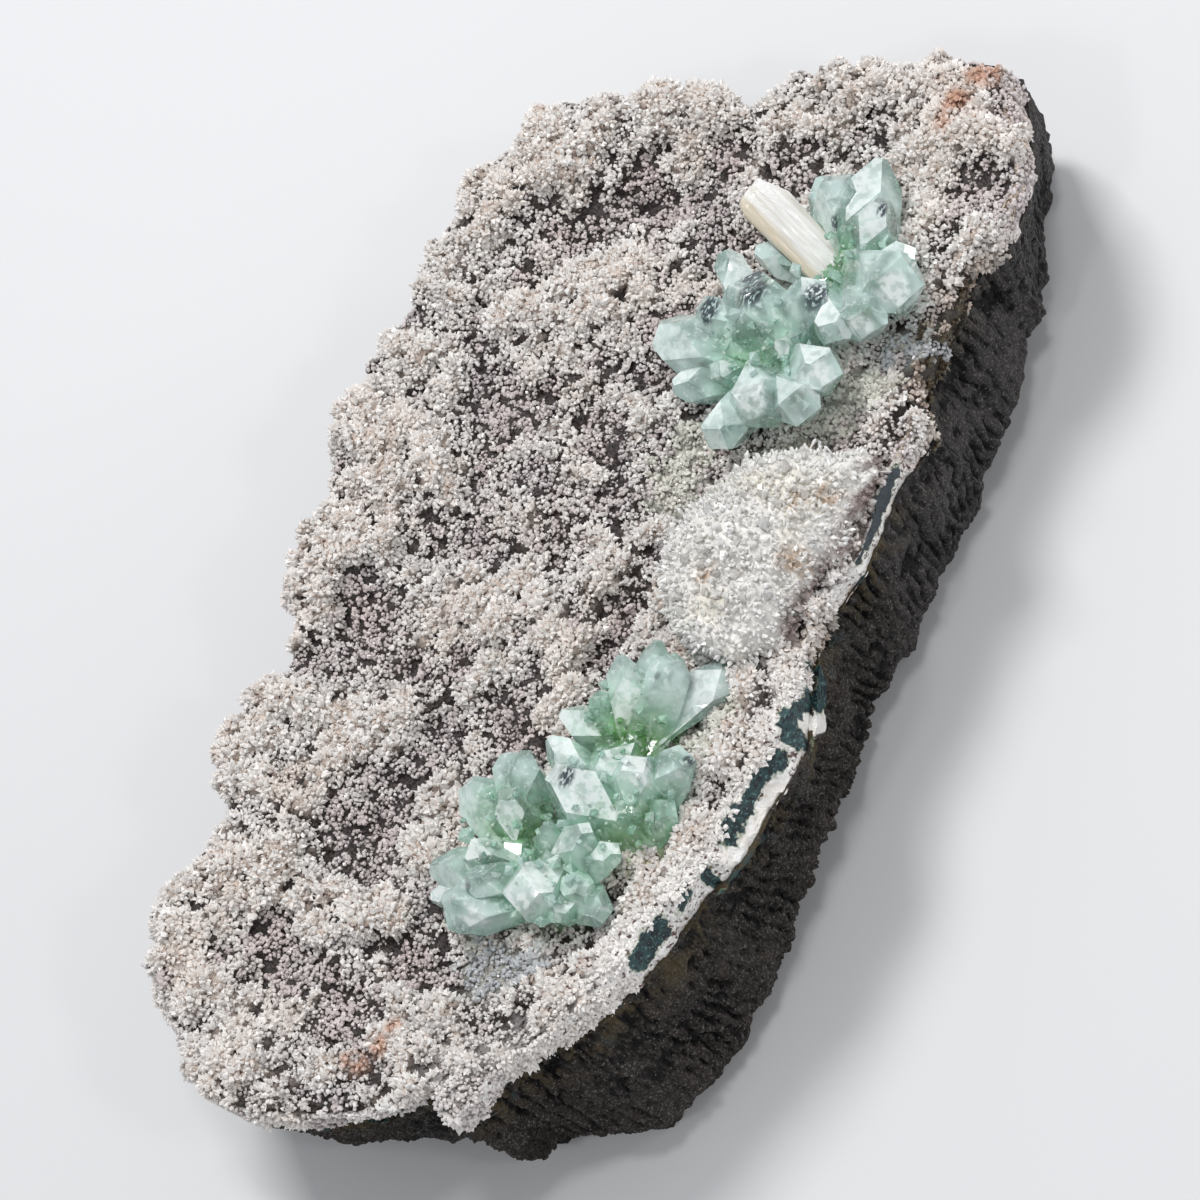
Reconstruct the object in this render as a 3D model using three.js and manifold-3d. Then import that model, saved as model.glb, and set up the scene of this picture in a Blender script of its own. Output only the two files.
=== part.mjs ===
// An apophyllite cluster: a slab of basalt whose upper face is lined with a druse of small
// crystals, carrying two groups of green apophyllite, a stilbite blade and a mound of quartz.
// Millimetres, +Z up. The slab lies on its flat back, its long side along Y. The broken side
// of the rock, where the crust is seen in section, is +X.
import * as THREE from 'three';
import { ImprovedNoise } from 'three/addons/math/ImprovedNoise.js';
import { mergeVertices } from 'three/addons/utils/BufferGeometryUtils.js';
import Module from 'manifold-3d';

const wasm = await Module();
wasm.setup();

// ---- Driving dimensions ---------------------------------------------------------------

const RIM_HEIGHT = 67.5; // crust edge above the back, at the middle of the slab
const RIM_RISE = [0.05, -0.02]; // how the rim tilts along x and y
const CRUST_THICKNESS = 10;
const CRUST_LEAST = 4; // the crust is at least this thick under its hollows
const SEAT_GAP = 0.35; // clearance between two solids that touch
const WALL_POINTS = 122; // points round the wall, one chisel flute to every two
const FLUTE_DEPTH = 0.7;
const ROCK_LUMPS = [[1.5, 26], [0.75, 11]]; // unevenness of the rock's wall: rise, spacing
const BAND_LUMPS = [[0.5, 26], [0.25, 11]]; // unevenness of the crust's lower border
const RING_WAVER = 3; // how far the rings of the wall rise and fall
const FOOT_HEIGHT = 18; // where the rock is widest, below which it turns under
const FOOT_TUCK = 7;
const MID_HEIGHT = 42;
const EDGE_BAND = 2; // how far the crust stands out below its edge
const FOOT_FLARE = 4; // how far the rock stands out at its foot
const FOOT_UNEVEN = 4; // how many times more the foot wanders than the border
const CUT_HEIGHT = 120; // above every crystal
const BLANK = { width: 240, length: 420, depth: 20 }; // larger than the slab all round
const TROUGH_DEPTH = 11; // how deep the middle of the face lies below its edge
const TROUGH_SIZE = [92, 190];
const TROUGH_SHAPE = 0.7; // below 1 the trough has a flat floor and steeper sides
const FACE_LUMPS = [[1.6, 14], [1.7, 7]]; // small lumps of the crust's face: rise, spacing
const CRUST_STEP = 9; // grid of the crust's face
const SEAM_STEP = 26; // grid of the seam between crust and rock
const GRID_SHIFT = 0.25; // how much of a step the grid points wander, so no rows show

// The broken side, from the top corner clockwise to the bottom corner: x, y, how far the
// lower border of the crust stands out, and how far the foot of the rock stands out.
const BROKEN_SIDE = [
  [52, 170, 3, 4], [63, 154, 3, -3], [71, 139, 2, -3], [69, 123, 5, 3], [65, 111, 3, 9],
  [67, 99, 4, 13], [67, 84, 3, 14], [70, 72, 4, 11], [77, 64, 5, 7], [74, 53, 4, 9],
  [74, 40, 5, 9], [77, 24, 4, 8], [75, 9, 4, 9], [76, -4, 2, 8], [83, -19, 3, 3],
  [83, -33, 10, 4], [82, -49, 8, 7], [81, -64, 11, 11], [82, -77, 4, 12], [79, -89, 6, 15],
  [76, -102, 5, 18], [73, -117, 3, 18], [68, -129, 2, 18], [59, -141, 1, 10],
  [58, -151, 0, 1], [55, -163, -2, -5], [48, -160, -1, -4], [44, -152, 1, 1],
  [38, -159, 0, -3], [35, -166, -1, -4], [22, -174, -1, -5], [11, -180, -1, -6],
  [-5, -185, 0, -7], [-18, -185, 1, -5],
];

// The crusted side, on clockwise along the left side and the top.
const CRUSTED_SIDE = [
  [-30, -179], [-42, -170], [-54, -156], [-60, -138], [-60, -112], [-68, -101], [-72, -88],
  [-70, -74], [-65, -65], [-74, -52], [-80, -39], [-83, -30], [-82, -18], [-86, -10],
  [-89, 2], [-89, 14], [-93, 22], [-90, 38], [-90, 54], [-93, 67], [-88, 77], [-92, 87],
  [-85, 105], [-75, 123], [-56, 132], [-38, 139], [-22, 139], [-17, 147], [-5, 158],
  [12, 162], [30, 168], [43, 173],
];

// Knolls and hollows of the druse: x, y, radius, height (hollows are negative).
const KNOLLS = [
  [-66, 103, 14, 7], [-78, 85, 10, 6], [-46, 124, 11, 6], [-60, 122, 8, 4], [-29, 131, 9, 4],
  [8, 153, 13, 6], [31, 161, 9, 4], [53, 151, 12, 6], [55, 115, 10, 5], [-83, 66, 9, 5],
  [-84, 48, 8, 4], [-89, 25, 8, 5], [-83, 7, 11, 6], [-65, 2, 11, 6], [-72, -36, 12, 8],
  [-57, -25, 8, 4], [-66, -55, 6, 4], [-63, -76, 9, 6], [-50, -67, 8, 3], [-65, -97, 8, 5],
  [-45, -119, 13, 6], [-39, -101, 10, 5], [-52, -139, 11, 6], [-49, -155, 10, 5],
  [-35, -166, 10, 5], [-15, -175, 11, 5], [10, -167, 10, 3], [-4, -119, 11, 6],
  [-9, -134, 8, 4], [-29, -28, 8, 4], [-9, -25, 11, 6], [9, -32, 8, 4], [10, 1, 8, 4],
  [-19, 14, 9, 3], [-52, 53, 10, 4], [-35, 74, 10, 4], [-16, 97, 10, 4], [31, -142, 12, 4],
  [49, -150, 8, 4], [60, -117, 13, 5], [72, -44, 11, 5], [74, -22, 9, 4], [67, 59, 8, 5],
  [-17, 123, 7, -6], [-27, 109, 7, -5], [-36, 101, 7, -6], [-44, 84, 8, -7],
  [21, -25, 7, -5], [27, -12, 7, -5], [-10, -63, 7, -6], [-11, -81, 7, -5],
  [-11, -98, 8, -6], [-7, -110, 7, -5], [-55, -43, 7, -5], [-27, -44, 8, -3],
  [-41, -17, 8, -4], [-17, -143, 9, -5], [22, -126, 8, -5], [-23, -116, 7, -3],
];

// Where on the crust each fan of apophyllite crystals springs from, and how deep below its face.
const ROOTS = {
  upper: [27, 67],
  top: [36, 99],
  right: [46, -48],
  middle: [58, -70],
  left: [29, -86],
  low: [46, -91],
};
const ROOT_DEPTH = 2;
const CORE = [13, 13, 9]; // half sizes of the massive green mineral round each root

// Apophyllite crystals: root, tip, width across the prism, and how much of that width the
// flat end keeps between the four faces of the point.
const UPPER_CRYSTALS = [
  ['upper', [19, 82, 80], 20, 0.5], ['upper', [3, 90, 74], 9, 0.3],
  ['upper', [6, 73, 76], 10, 0.5], ['upper', [-5, 61, 72], 16, 0.4],
  ['upper', [6, 49, 68], 10, 0.3], ['upper', [19, 56, 75], 7, 0.6],
  ['upper', [38, 48, 81], 15, 0.4], ['upper', [28, 38, 73], 11, 0.6],
  ['upper', [49, 54, 78], 12, 0.7], ['upper', [52, 66, 80], 12, 0.6],
  ['upper', [38, 86, 82], 12, 0.6], ['upper', [37, 71, 78], 8, 0.4],
  ['upper', [33, 67, 76], 8, 0.3], ['upper', [17, 66, 74], 9, 0.5],
  ['top', [35, 130, 77], 16, 0.15], ['top', [26, 120, 78], 12, 0.6],
  ['top', [18, 121, 72], 10, 0.2], ['top', [43, 117, 80], 12, 0.3],
  ['top', [14, 98, 71], 10, 0.2], ['top', [9, 95, 69], 8, 0.3],
  ['top', [60, 96, 81], 17, 0.6], ['top', [56, 107, 76], 9, 0.4],
  ['top', [56, 82, 80], 13, 0.5], ['top', [48, 76, 80], 11, 0.5],
];
const LOWER_CRYSTALS = [
  ['right', [35, -29, 76], 10, 0.15], ['right', [43, -21, 75], 9, 0.2],
  ['right', [51, -24, 78], 12, 0.3], ['right', [63, -20, 67], 11, 0.7],
  ['right', [26, -50, 74], 11, 0.2], ['right', [31, -41, 71], 7, 0.4],
  ['right', [48, -62, 79], 12, 0.4],
  ['middle', [38, -67, 84], 19, 0.3], ['middle', [28, -58, 77], 9, 0.2],
  ['middle', [58, -56, 84], 12, 0.5], ['middle', [66, -48, 78], 10, 0.7],
  ['middle', [69, -62, 76], 12, 0.4], ['middle', [60, -67, 81], 8, 0.5],
  ['left', [18, -66, 75], 10, 0.3], ['left', [10, -78, 73], 14, 0.3],
  ['left', [26, -77, 79], 12, 0.4], ['left', [33, -90, 74], 10, 0.5],
  ['left', [24, -64, 77], 10, 0.3],
  ['low', [42, -80, 82], 10, 0.15], ['low', [54, -77, 84], 11, 0.3],
  ['low', [62, -78, 79], 8, 0.4], ['low', [12, -103, 72], 13, 0.2],
  ['low', [22, -95, 77], 9, 0.6], ['low', [15, -110, 69], 7, 0.3],
  ['low', [28, -103, 80], 9, 0.4], ['low', [24, -113, 75], 13, 0.5],
  ['low', [46, -100, 84], 16, 0.5], ['low', [57, -101, 79], 10, 0.3],
  ['low', [60, -92, 81], 9, 0.3], ['low', [66, -95, 75], 9, 0.4],
];
const POINT_SLOPE = 0.566; // how much a point narrows, from its middle line, per mm of height
const ROLL_SPREAD = 7; // radians over which the crystals turn about their own length

// The stilbite blade: a flat sheaf with a slanted end, grown out from under the upper group.
// Its outline is given across and along, from the middle of its root towards its tip.
const BLADE = {
  root: [31, 98, 67],
  tip: [3, 109, 79],
  outline: [[-6.1, 0], [6.1, 0], [7, 23.3], [3.2, 32.4], [-5.3, 31.1], [-7, 26.6]],
  thickness: 5,
  chamfer: 1,
};

// The quartz mound between the two groups: centre, half sizes, turn about the vertical.
const MOUND_LOBES = [
  { centre: [53, 16, 62], half: [24, 32, 19], turn: 0.35 },
  { centre: [66, 34, 63], half: [12, 20, 13], turn: 0.3 },
  { centre: [57, -4, 63], half: [19, 18, 16], turn: 0 },
];
const MOUND_DETAIL = 3;
const MOUND_LUMPS = [0.09, 0.45]; // rise and spacing, as shares of a lobe's half size

// ---- Colours --------------------------------------------------------------------------

const material = (color, roughness) =>
  new THREE.MeshStandardMaterial({ color, roughness, metalness: 0, flatShading: true });
const BASALT = material(0x2c2929, 0.9);
const DRUSE = material(0xd8cdc8, 0.6);
const QUARTZ = material(0xe8e6df, 0.45);
const APOPHYLLITE = material(0xa9d0be, 0.12);
const STILBITE = material(0xf0ece2, 0.35);

// ---- Small helpers --------------------------------------------------------------------

const noise = new ImprovedNoise();

/** Smooth noise of about one, with features `size` millimetres apart. */
function wobble(x, y, z, size) {
  return 1.6 * noise.noise(x / size + 11.3, y / size + 5.7, z / size + 2.9);
}

/** The sum of several noises, each given by its rise and spacing. */
function lumpiness(lumps, x, y, z) {
  return lumps.reduce((sum, [rise, size]) => sum + rise * wobble(x, y, z, size), 0);
}

/** A manifold solid from a closed geometry. */
function toSolid(geometry) {
  geometry.deleteAttribute('normal');
  geometry.deleteAttribute('uv');
  const merged = mergeVertices(geometry, 1e-4);
  return new wasm.Manifold(new wasm.Mesh({
    numProp: 3,
    vertProperties: new Float32Array(merged.attributes.position.array),
    triVerts: new Uint32Array(merged.index.array),
  }));
}

/** A named mesh from the main body of a manifold solid, without chips that a cut left loose. */
function toMesh(solid, name, meshMaterial) {
  const [body] = solid.decompose().sort((a, b) => b.volume() - a.volume());
  const result = body.getMesh();
  const geometry = new THREE.BufferGeometry();
  geometry.setAttribute('position', new THREE.BufferAttribute(result.vertProperties, 3));
  geometry.setIndex(new THREE.BufferAttribute(result.triVerts, 1));
  geometry.computeVertexNormals();
  const mesh = new THREE.Mesh(geometry, meshMaterial);
  mesh.name = name;
  return mesh;
}

// ---- The slab's surfaces --------------------------------------------------------------

/** Height of the plane through the crust's edge. */
function rimPlane(x, y) {
  return RIM_HEIGHT + RIM_RISE[0] * x + RIM_RISE[1] * y;
}

/** Height of the seam between rock and crust. */
function seamHeight(x, y) {
  const reach = (x / TROUGH_SIZE[0]) ** 2 + (y / TROUGH_SIZE[1]) ** 2;
  const trough = TROUGH_DEPTH * Math.max(0, 1 - reach) ** TROUGH_SHAPE;
  return rimPlane(x, y) - trough - CRUST_THICKNESS;
}

/** Height of the crust's face: the seam, a crust's thickness up, with knolls and small lumps. */
function faceHeight(x, y) {
  const seam = seamHeight(x, y);
  let height = seam + CRUST_THICKNESS;
  for (const [knollX, knollY, radius, rise] of KNOLLS) {
    const distance = Math.hypot(x - knollX, y - knollY) / radius;
    height += rise * Math.exp(-(distance ** 2));
  }
  height += lumpiness(FACE_LUMPS, x, y, 0);
  return Math.max(height, seam + CRUST_LEAST);
}

/** Everything below a surface: a box whose top is a grid that follows heightAt(x, y). */
function solidUnder(heightAt, step) {
  const { width, length, depth } = BLANK;
  const geometry = new THREE.BoxGeometry(
    width, length, depth, Math.round(width / step), Math.round(length / step), 1);
  const place = geometry.attributes.position;
  const point = new THREE.Vector3();
  for (let i = 0; i < place.count; i += 1) {
    point.fromBufferAttribute(place, i);
    if (point.z > 0) {
      const x = point.x + GRID_SHIFT * step * wobble(point.x, point.y, 60, 1.7 * step);
      const y = point.y + GRID_SHIFT * step * wobble(point.x, point.y, 90, 1.7 * step);
      place.setXYZ(i, x, y, heightAt(x, y));
    } else {
      place.setZ(i, -depth);
    }
  }
  return toSolid(geometry);
}

// ---- The slab's outline ---------------------------------------------------------------

/** The outline as points with x, y, and the stand-out of crust border and foot. */
function outlineRows() {
  const crusted = CRUSTED_SIDE.map(([x, y], i) => {
    const uneven = wobble(i * 3, 0, 0, 7);
    return [x, y, EDGE_BAND + uneven, FOOT_FLARE + FOOT_UNEVEN * uneven];
  });
  return [...BROKEN_SIDE, ...crusted];
}

/** WALL_POINTS evenly spaced stations round the slab, each with its outward direction. */
function wallStations() {
  const rows = outlineRows();
  const place = new THREE.CatmullRomCurve3(
    rows.map(([x, y]) => new THREE.Vector3(x, y, 0)), true, 'centripetal');
  place.arcLengthDivisions = 4000;
  const stations = [];
  for (let i = 0; i < WALL_POINTS; i += 1) {
    const along = place.getUtoTmapping(i / WALL_POINTS);
    const point = place.getPoint(along);
    const tangent = place.getTangent(along);
    const row = along * rows.length;
    const here = rows[Math.floor(row) % rows.length];
    const next = rows[(Math.floor(row) + 1) % rows.length];
    const share = row - Math.floor(row);
    stations.push({
      point,
      outward: new THREE.Vector3(-tangent.y, tangent.x, 0),
      band: here[2] + share * (next[2] - here[2]),
      foot: here[3] + share * (next[3] - here[3]),
    });
  }
  return smoothOutward(stations);
}

/** Averages each outward direction with its neighbours', so that rings don't cross at corners. */
function smoothOutward(stations) {
  const reach = 4;
  return stations.map((station, i) => {
    const outward = new THREE.Vector3();
    for (let k = -reach; k <= reach; k += 1) {
      outward.add(stations[(i + k + WALL_POINTS) % WALL_POINTS].outward);
    }
    return { ...station, outward: outward.normalize() };
  });
}

/** A point of the wall: its station, moved outward, at a height. */
function wallPoint({ point, outward }, offset, height) {
  return point.clone().addScaledVector(outward, offset).setZ(height);
}

/** One closed ring of wall points for each level of the slab, from its back upward. */
function wallRings() {
  const stations = wallStations();
  const flute = (i) => (i % 2 ? FLUTE_DEPTH : -FLUTE_DEPTH);
  const rockRing = (height, waver, standOut) => stations.map((station, i) => {
    const { x, y } = station.point;
    const offset = standOut(station) + flute(i) + lumpiness(ROCK_LUMPS, x, y, height);
    return wallPoint(station, offset, height + waver * wobble(x, y, height, 30));
  });
  const borderRing = stations.map((station) => {
    const { x, y } = station.point;
    const ring = wallPoint(station, station.band + lumpiness(BAND_LUMPS, x, y, RIM_HEIGHT), 0);
    return ring.setZ(rimPlane(ring.x, ring.y) - CRUST_THICKNESS);
  });
  return [
    rockRing(0, 0, ({ foot }) => foot - FOOT_TUCK),
    rockRing(FOOT_HEIGHT, RING_WAVER, ({ foot }) => foot),
    rockRing(MID_HEIGHT, RING_WAVER, ({ band, foot }) => 0.5 * (band + foot)),
    borderRing,
    stations.map((station) => wallPoint(station, 0, rimPlane(station.point.x, station.point.y))),
    stations.map((station) => wallPoint(station, 0, CUT_HEIGHT)),
  ];
}

/** The whole block inside the wall, up to CUT_HEIGHT, from rings joined by strips. */
function wallBlock() {
  const rings = wallRings();
  const positions = rings.flat().flatMap(({ x, y, z }) => [x, y, z]);
  const index = [];
  const turn = (i) => (i + 1) % WALL_POINTS;
  for (let level = 0; level < rings.length - 1; level += 1) {
    const low = level * WALL_POINTS;
    const high = low + WALL_POINTS;
    for (let i = 0; i < WALL_POINTS; i += 1) {
      index.push(low + i, high + i, low + turn(i), low + turn(i), high + i, high + turn(i));
    }
  }
  const centres = [rings[0][0].z, CUT_HEIGHT];
  const bottomCentre = positions.length / 3;
  centres.forEach((z) => positions.push(0, 0, z));
  const top = (rings.length - 1) * WALL_POINTS;
  for (let i = 0; i < WALL_POINTS; i += 1) {
    index.push(bottomCentre, i, turn(i), bottomCentre + 1, top + turn(i), top + i);
  }
  const geometry = new THREE.BufferGeometry();
  geometry.setAttribute('position', new THREE.Float32BufferAttribute(positions, 3));
  geometry.setIndex(index);
  return toSolid(geometry);
}

// ---- Crystals -------------------------------------------------------------------------

/** A square prism with a four-faced point, its faces on the prism's corners. */
function apophylliteCrystal([rootName, tip, width, flat], spare) {
  const root = new THREE.Vector3(...ROOTS[rootName], 0);
  root.z = faceHeight(root.x, root.y) - ROOT_DEPTH;
  const end = new THREE.Vector3(...tip);
  const axis = end.clone().sub(root).normalize();
  const length = end.distanceTo(root) + spare;
  const half = width / 2 + spare;
  const prism = new THREE.BoxGeometry(2 * half, length, 2 * half);
  const flatEnd = Math.SQRT2 * (flat * half + 1e-3);
  const wide = flatEnd + Math.SQRT2 * POINT_SLOPE * length;
  const point = new THREE.CylinderGeometry(flatEnd, wide, length, 4);
  const up = new THREE.Vector3(0, 1, 0);
  const roll = ROLL_SPREAD * noise.noise(tip[0] / 9.1, tip[1] / 9.1, width);
  const turn = new THREE.Quaternion().setFromUnitVectors(up, axis)
    .multiply(new THREE.Quaternion().setFromAxisAngle(up, roll));
  const place = new THREE.Matrix4().compose(
    root.clone().addScaledVector(axis, length / 2), turn, new THREE.Vector3(1, 1, 1));
  return toSolid(prism.applyMatrix4(place)).intersect(toSolid(point.applyMatrix4(place)));
}

/** The massive mineral round a root, a faceted dome. */
function rootCore(rootName) {
  const [x, y] = ROOTS[rootName];
  const geometry = new THREE.IcosahedronGeometry(1, 1);
  geometry.scale(...CORE).translate(x, y, faceHeight(x, y) - ROOT_DEPTH);
  return toSolid(geometry);
}

/** A group of crystals grown together, each larger by `spare` on every side. */
function crystalGroup(crystals, spare = 0) {
  const rootNames = [...new Set(crystals.map(([rootName]) => rootName))];
  return [
    ...rootNames.map(rootCore),
    ...crystals.map((crystal) => apophylliteCrystal(crystal, spare)),
  ].reduce((group, piece) => group.add(piece));
}

/** The stilbite blade, chamfered along its edges and larger by `spare` on every side. */
function stilbiteBlade(spare = 0) {
  const root = new THREE.Vector3(...BLADE.root);
  const axis = new THREE.Vector3(...BLADE.tip).sub(root).normalize();
  const outline = new THREE.Shape(BLADE.outline.map((point) => new THREE.Vector2(...point)));
  const depth = BLADE.thickness - 2 * BLADE.chamfer;
  const blade = new THREE.ExtrudeGeometry(outline, {
    depth,
    bevelEnabled: true,
    bevelOffset: -BLADE.chamfer,
    bevelSize: BLADE.chamfer + spare,
    bevelThickness: BLADE.chamfer + spare,
    bevelSegments: 1,
  });
  blade.translate(0, 0, -depth / 2);
  const flat = new THREE.Vector3(0, 0, 1).addScaledVector(axis, -axis.z).normalize();
  const side = axis.clone().cross(flat);
  blade.applyMatrix4(new THREE.Matrix4().makeBasis(side, axis, flat).setPosition(root));
  return toSolid(blade);
}

/** One rounded, lumpy lobe of the quartz mound. */
function quartzLobe({ centre, half, turn }) {
  const geometry = new THREE.IcosahedronGeometry(1, MOUND_DETAIL);
  const place = geometry.attributes.position;
  const [rise, spacing] = MOUND_LUMPS;
  for (let i = 0; i < place.count; i += 1) {
    const point = new THREE.Vector3().fromBufferAttribute(place, i);
    const swell = 1 + rise * wobble(point.x, point.y, point.z + centre[0], spacing);
    point.multiplyScalar(swell).multiply(new THREE.Vector3(...half));
    point.applyAxisAngle(new THREE.Vector3(0, 0, 1), -turn).add(new THREE.Vector3(...centre));
    place.setXYZ(i, point.x, point.y, point.z);
  }
  return toSolid(geometry);
}

// ---- Building -------------------------------------------------------------------------

function build() {
  const block = wallBlock();
  const seam = solidUnder(seamHeight, SEAM_STEP);
  const seamWithGap = solidUnder((x, y) => seamHeight(x, y) + SEAT_GAP, SEAM_STEP);
  const face = solidUnder(faceHeight, CRUST_STEP);
  const faceWithGap = solidUnder((x, y) => faceHeight(x, y) + SEAT_GAP, CRUST_STEP);

  const basalt = block.intersect(seam);
  const crust = block.intersect(face).subtract(seamWithGap);

  const blade = stilbiteBlade().subtract(faceWithGap);
  const upper = crystalGroup(UPPER_CRYSTALS).subtract(faceWithGap)
    .subtract(stilbiteBlade(SEAT_GAP));
  const lower = crystalGroup(LOWER_CRYSTALS).subtract(faceWithGap);
  const mound = MOUND_LOBES.map(quartzLobe).reduce((whole, lobe) => whole.add(lobe))
    .subtract(faceWithGap)
    .subtract(crystalGroup(UPPER_CRYSTALS, SEAT_GAP))
    .subtract(crystalGroup(LOWER_CRYSTALS, SEAT_GAP));

  const cluster = new THREE.Group();
  cluster.add(
    toMesh(basalt, 'basalt_matrix', BASALT),
    toMesh(crust, 'druse_crust', DRUSE),
    toMesh(mound, 'quartz_mound', QUARTZ),
    toMesh(upper, 'apophyllite_upper', APOPHYLLITE),
    toMesh(lower, 'apophyllite_lower', APOPHYLLITE),
    toMesh(blade, 'stilbite_blade', STILBITE),
  );
  const bounds = new THREE.Box3().setFromObject(cluster);
  const middle = bounds.getCenter(new THREE.Vector3());
  cluster.position.set(-middle.x, -middle.y, -bounds.min.z);
  cluster.updateMatrixWorld(true);
  return cluster;
}

export default build();
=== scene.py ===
"""The looks of an apophyllite cluster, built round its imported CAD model.

The cluster lies on its flat back: a slab of basalt, lined with small crystals, that carries two
groups of green apophyllite, a stilbite blade and a mound of quartz. Points are worked out in
millimetres, in the frame of the CAD model, and become metres when a mesh is made.
"""
import itertools
import math

import bmesh
import bpy
import numpy as np
from mathutils import Matrix, Vector
from mathutils.bvhtree import BVHTree
from mathutils.kdtree import KDTree


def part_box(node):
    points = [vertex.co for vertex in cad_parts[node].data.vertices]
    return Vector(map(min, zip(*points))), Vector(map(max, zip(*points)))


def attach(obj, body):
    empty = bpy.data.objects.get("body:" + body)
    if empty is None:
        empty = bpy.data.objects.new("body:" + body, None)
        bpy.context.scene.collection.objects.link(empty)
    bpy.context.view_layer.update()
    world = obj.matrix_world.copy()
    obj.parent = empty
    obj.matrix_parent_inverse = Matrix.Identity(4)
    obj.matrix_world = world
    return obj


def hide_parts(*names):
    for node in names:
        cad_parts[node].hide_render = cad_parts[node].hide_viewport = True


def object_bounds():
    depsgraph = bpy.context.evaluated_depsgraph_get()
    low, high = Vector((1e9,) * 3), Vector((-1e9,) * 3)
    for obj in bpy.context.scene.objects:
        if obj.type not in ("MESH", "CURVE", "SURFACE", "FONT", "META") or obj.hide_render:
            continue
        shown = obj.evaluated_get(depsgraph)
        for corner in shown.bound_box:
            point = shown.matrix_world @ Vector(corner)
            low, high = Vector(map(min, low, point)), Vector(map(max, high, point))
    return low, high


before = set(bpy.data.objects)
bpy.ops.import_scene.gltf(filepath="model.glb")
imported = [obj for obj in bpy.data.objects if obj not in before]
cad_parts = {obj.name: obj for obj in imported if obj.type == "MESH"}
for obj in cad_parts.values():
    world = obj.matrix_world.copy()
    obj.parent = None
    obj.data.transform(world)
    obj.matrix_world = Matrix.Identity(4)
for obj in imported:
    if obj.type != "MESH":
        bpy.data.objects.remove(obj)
cad_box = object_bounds()
MM = 0.001

# ---- Camera, floor and light ----

CAMERA_TARGET = (15.6, -11.2, 60.0)
CAMERA_AZIMUTH = 69.4  # degrees from -Y towards +X
CAMERA_ELEVATION = 60.4
CAMERA_ROLL = -43.9
CAMERA_DISTANCE = 933.0
CAMERA_LENS = 100.0
FLOOR_SIZE = 9.0  # metres
FLOOR_DROP = 0.0002  # keeps the floor off the slab's back
FLOOR_TONE = (0.74, 0.74, 0.75, 1.0)
WORLD_LIGHT = 0.36
WORLD_TONE = (0.93, 0.96, 1.0, 1.0)

# Area lights: place along the camera's right, up and back axes in metres, size and power.
LIGHTS = {
    "key": ((-0.8, 1.15, 0.9), 0.45, 16.5),
    "fill": ((1.5, 0.9, 0.5), 0.4, 6.0),
    "low": ((0.3, -1.5, 0.7), 1.2, 3.0),
    "glint_high": ((-0.25, 0.75, 1.5), 0.22, 4.5),
    "glint_right": ((0.6, 0.15, 1.6), 0.16, 2.0),
    "glint_left": ((-0.75, -0.25, 1.4), 0.16, 2.0),
}


def camera_axes():
    """The camera's right, up and back directions."""
    azimuth, elevation, roll = map(math.radians, (CAMERA_AZIMUTH, CAMERA_ELEVATION, CAMERA_ROLL))
    back = Vector((math.sin(azimuth) * math.cos(elevation),
                   -math.cos(azimuth) * math.cos(elevation), math.sin(elevation)))
    level = Vector((math.cos(azimuth), math.sin(azimuth), 0))
    upright = back.cross(level)
    right = level * math.cos(roll) + upright * math.sin(roll)
    return right, back.cross(right), back


def aimed(right, up, back, place):
    """The placing of a camera or light that looks against `back`."""
    matrix = Matrix((right, up, back)).transposed().to_4x4()
    matrix.translation = place
    return matrix


def add_object(name, data):
    thing = bpy.data.objects.new(name, data)
    bpy.context.scene.collection.objects.link(thing)
    return thing


def add_camera():
    right, up, back = camera_axes()
    lens = bpy.data.cameras.new("camera")
    lens.lens = CAMERA_LENS
    lens.sensor_width = 36
    lens.clip_end = 50
    camera = add_object("camera", lens)
    camera.matrix_world = aimed(
        right, up, back, Vector(CAMERA_TARGET) * MM + back * CAMERA_DISTANCE * MM)
    bpy.context.scene.camera = camera


def add_lights():
    axes = camera_axes()
    target = Vector(CAMERA_TARGET) * MM
    for name, (place, size, power) in LIGHTS.items():
        light = bpy.data.lights.new(name, "AREA")
        light.size = size
        light.energy = power
        spot = sum((axis * share for axis, share in zip(axes, place)), Vector())
        back = spot.normalized()
        right = Vector((0, 0, 1)).cross(back).normalized()
        add_object(name, light).matrix_world = aimed(
            right, back.cross(right), back, target + spot)


def add_world():
    world = bpy.data.worlds.new("studio")
    world.use_nodes = True
    background = world.node_tree.nodes["Background"]
    background.inputs["Color"].default_value = WORLD_TONE
    background.inputs["Strength"].default_value = WORLD_LIGHT
    bpy.context.scene.world = world
    bpy.context.scene.view_settings.view_transform = "Standard"


def add_floor():
    half = FLOOR_SIZE / 2
    corners = [(-half, -half), (half, -half), (half, half), (-half, half)]
    mesh = bpy.data.meshes.new("floor")
    mesh.from_pydata([(x, y, -FLOOR_DROP) for x, y in corners], [], [(0, 1, 2, 3)])
    floor = add_object("floor", mesh)
    mesh.materials.append(Finish("floor", FLOOR_TONE).done(0.7))


# ---- Materials ----

QUARTZ_IOR = 1.544
APOPHYLLITE_IOR = 1.535


def srgb(red, green, blue):
    """A colour from its screen values, 0 to 255."""
    shares = np.array((red, green, blue)) / 255
    return (*np.where(shares <= 0.04045, shares / 12.92, ((shares + 0.055) / 1.055) ** 2.4), 1.0)


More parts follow.
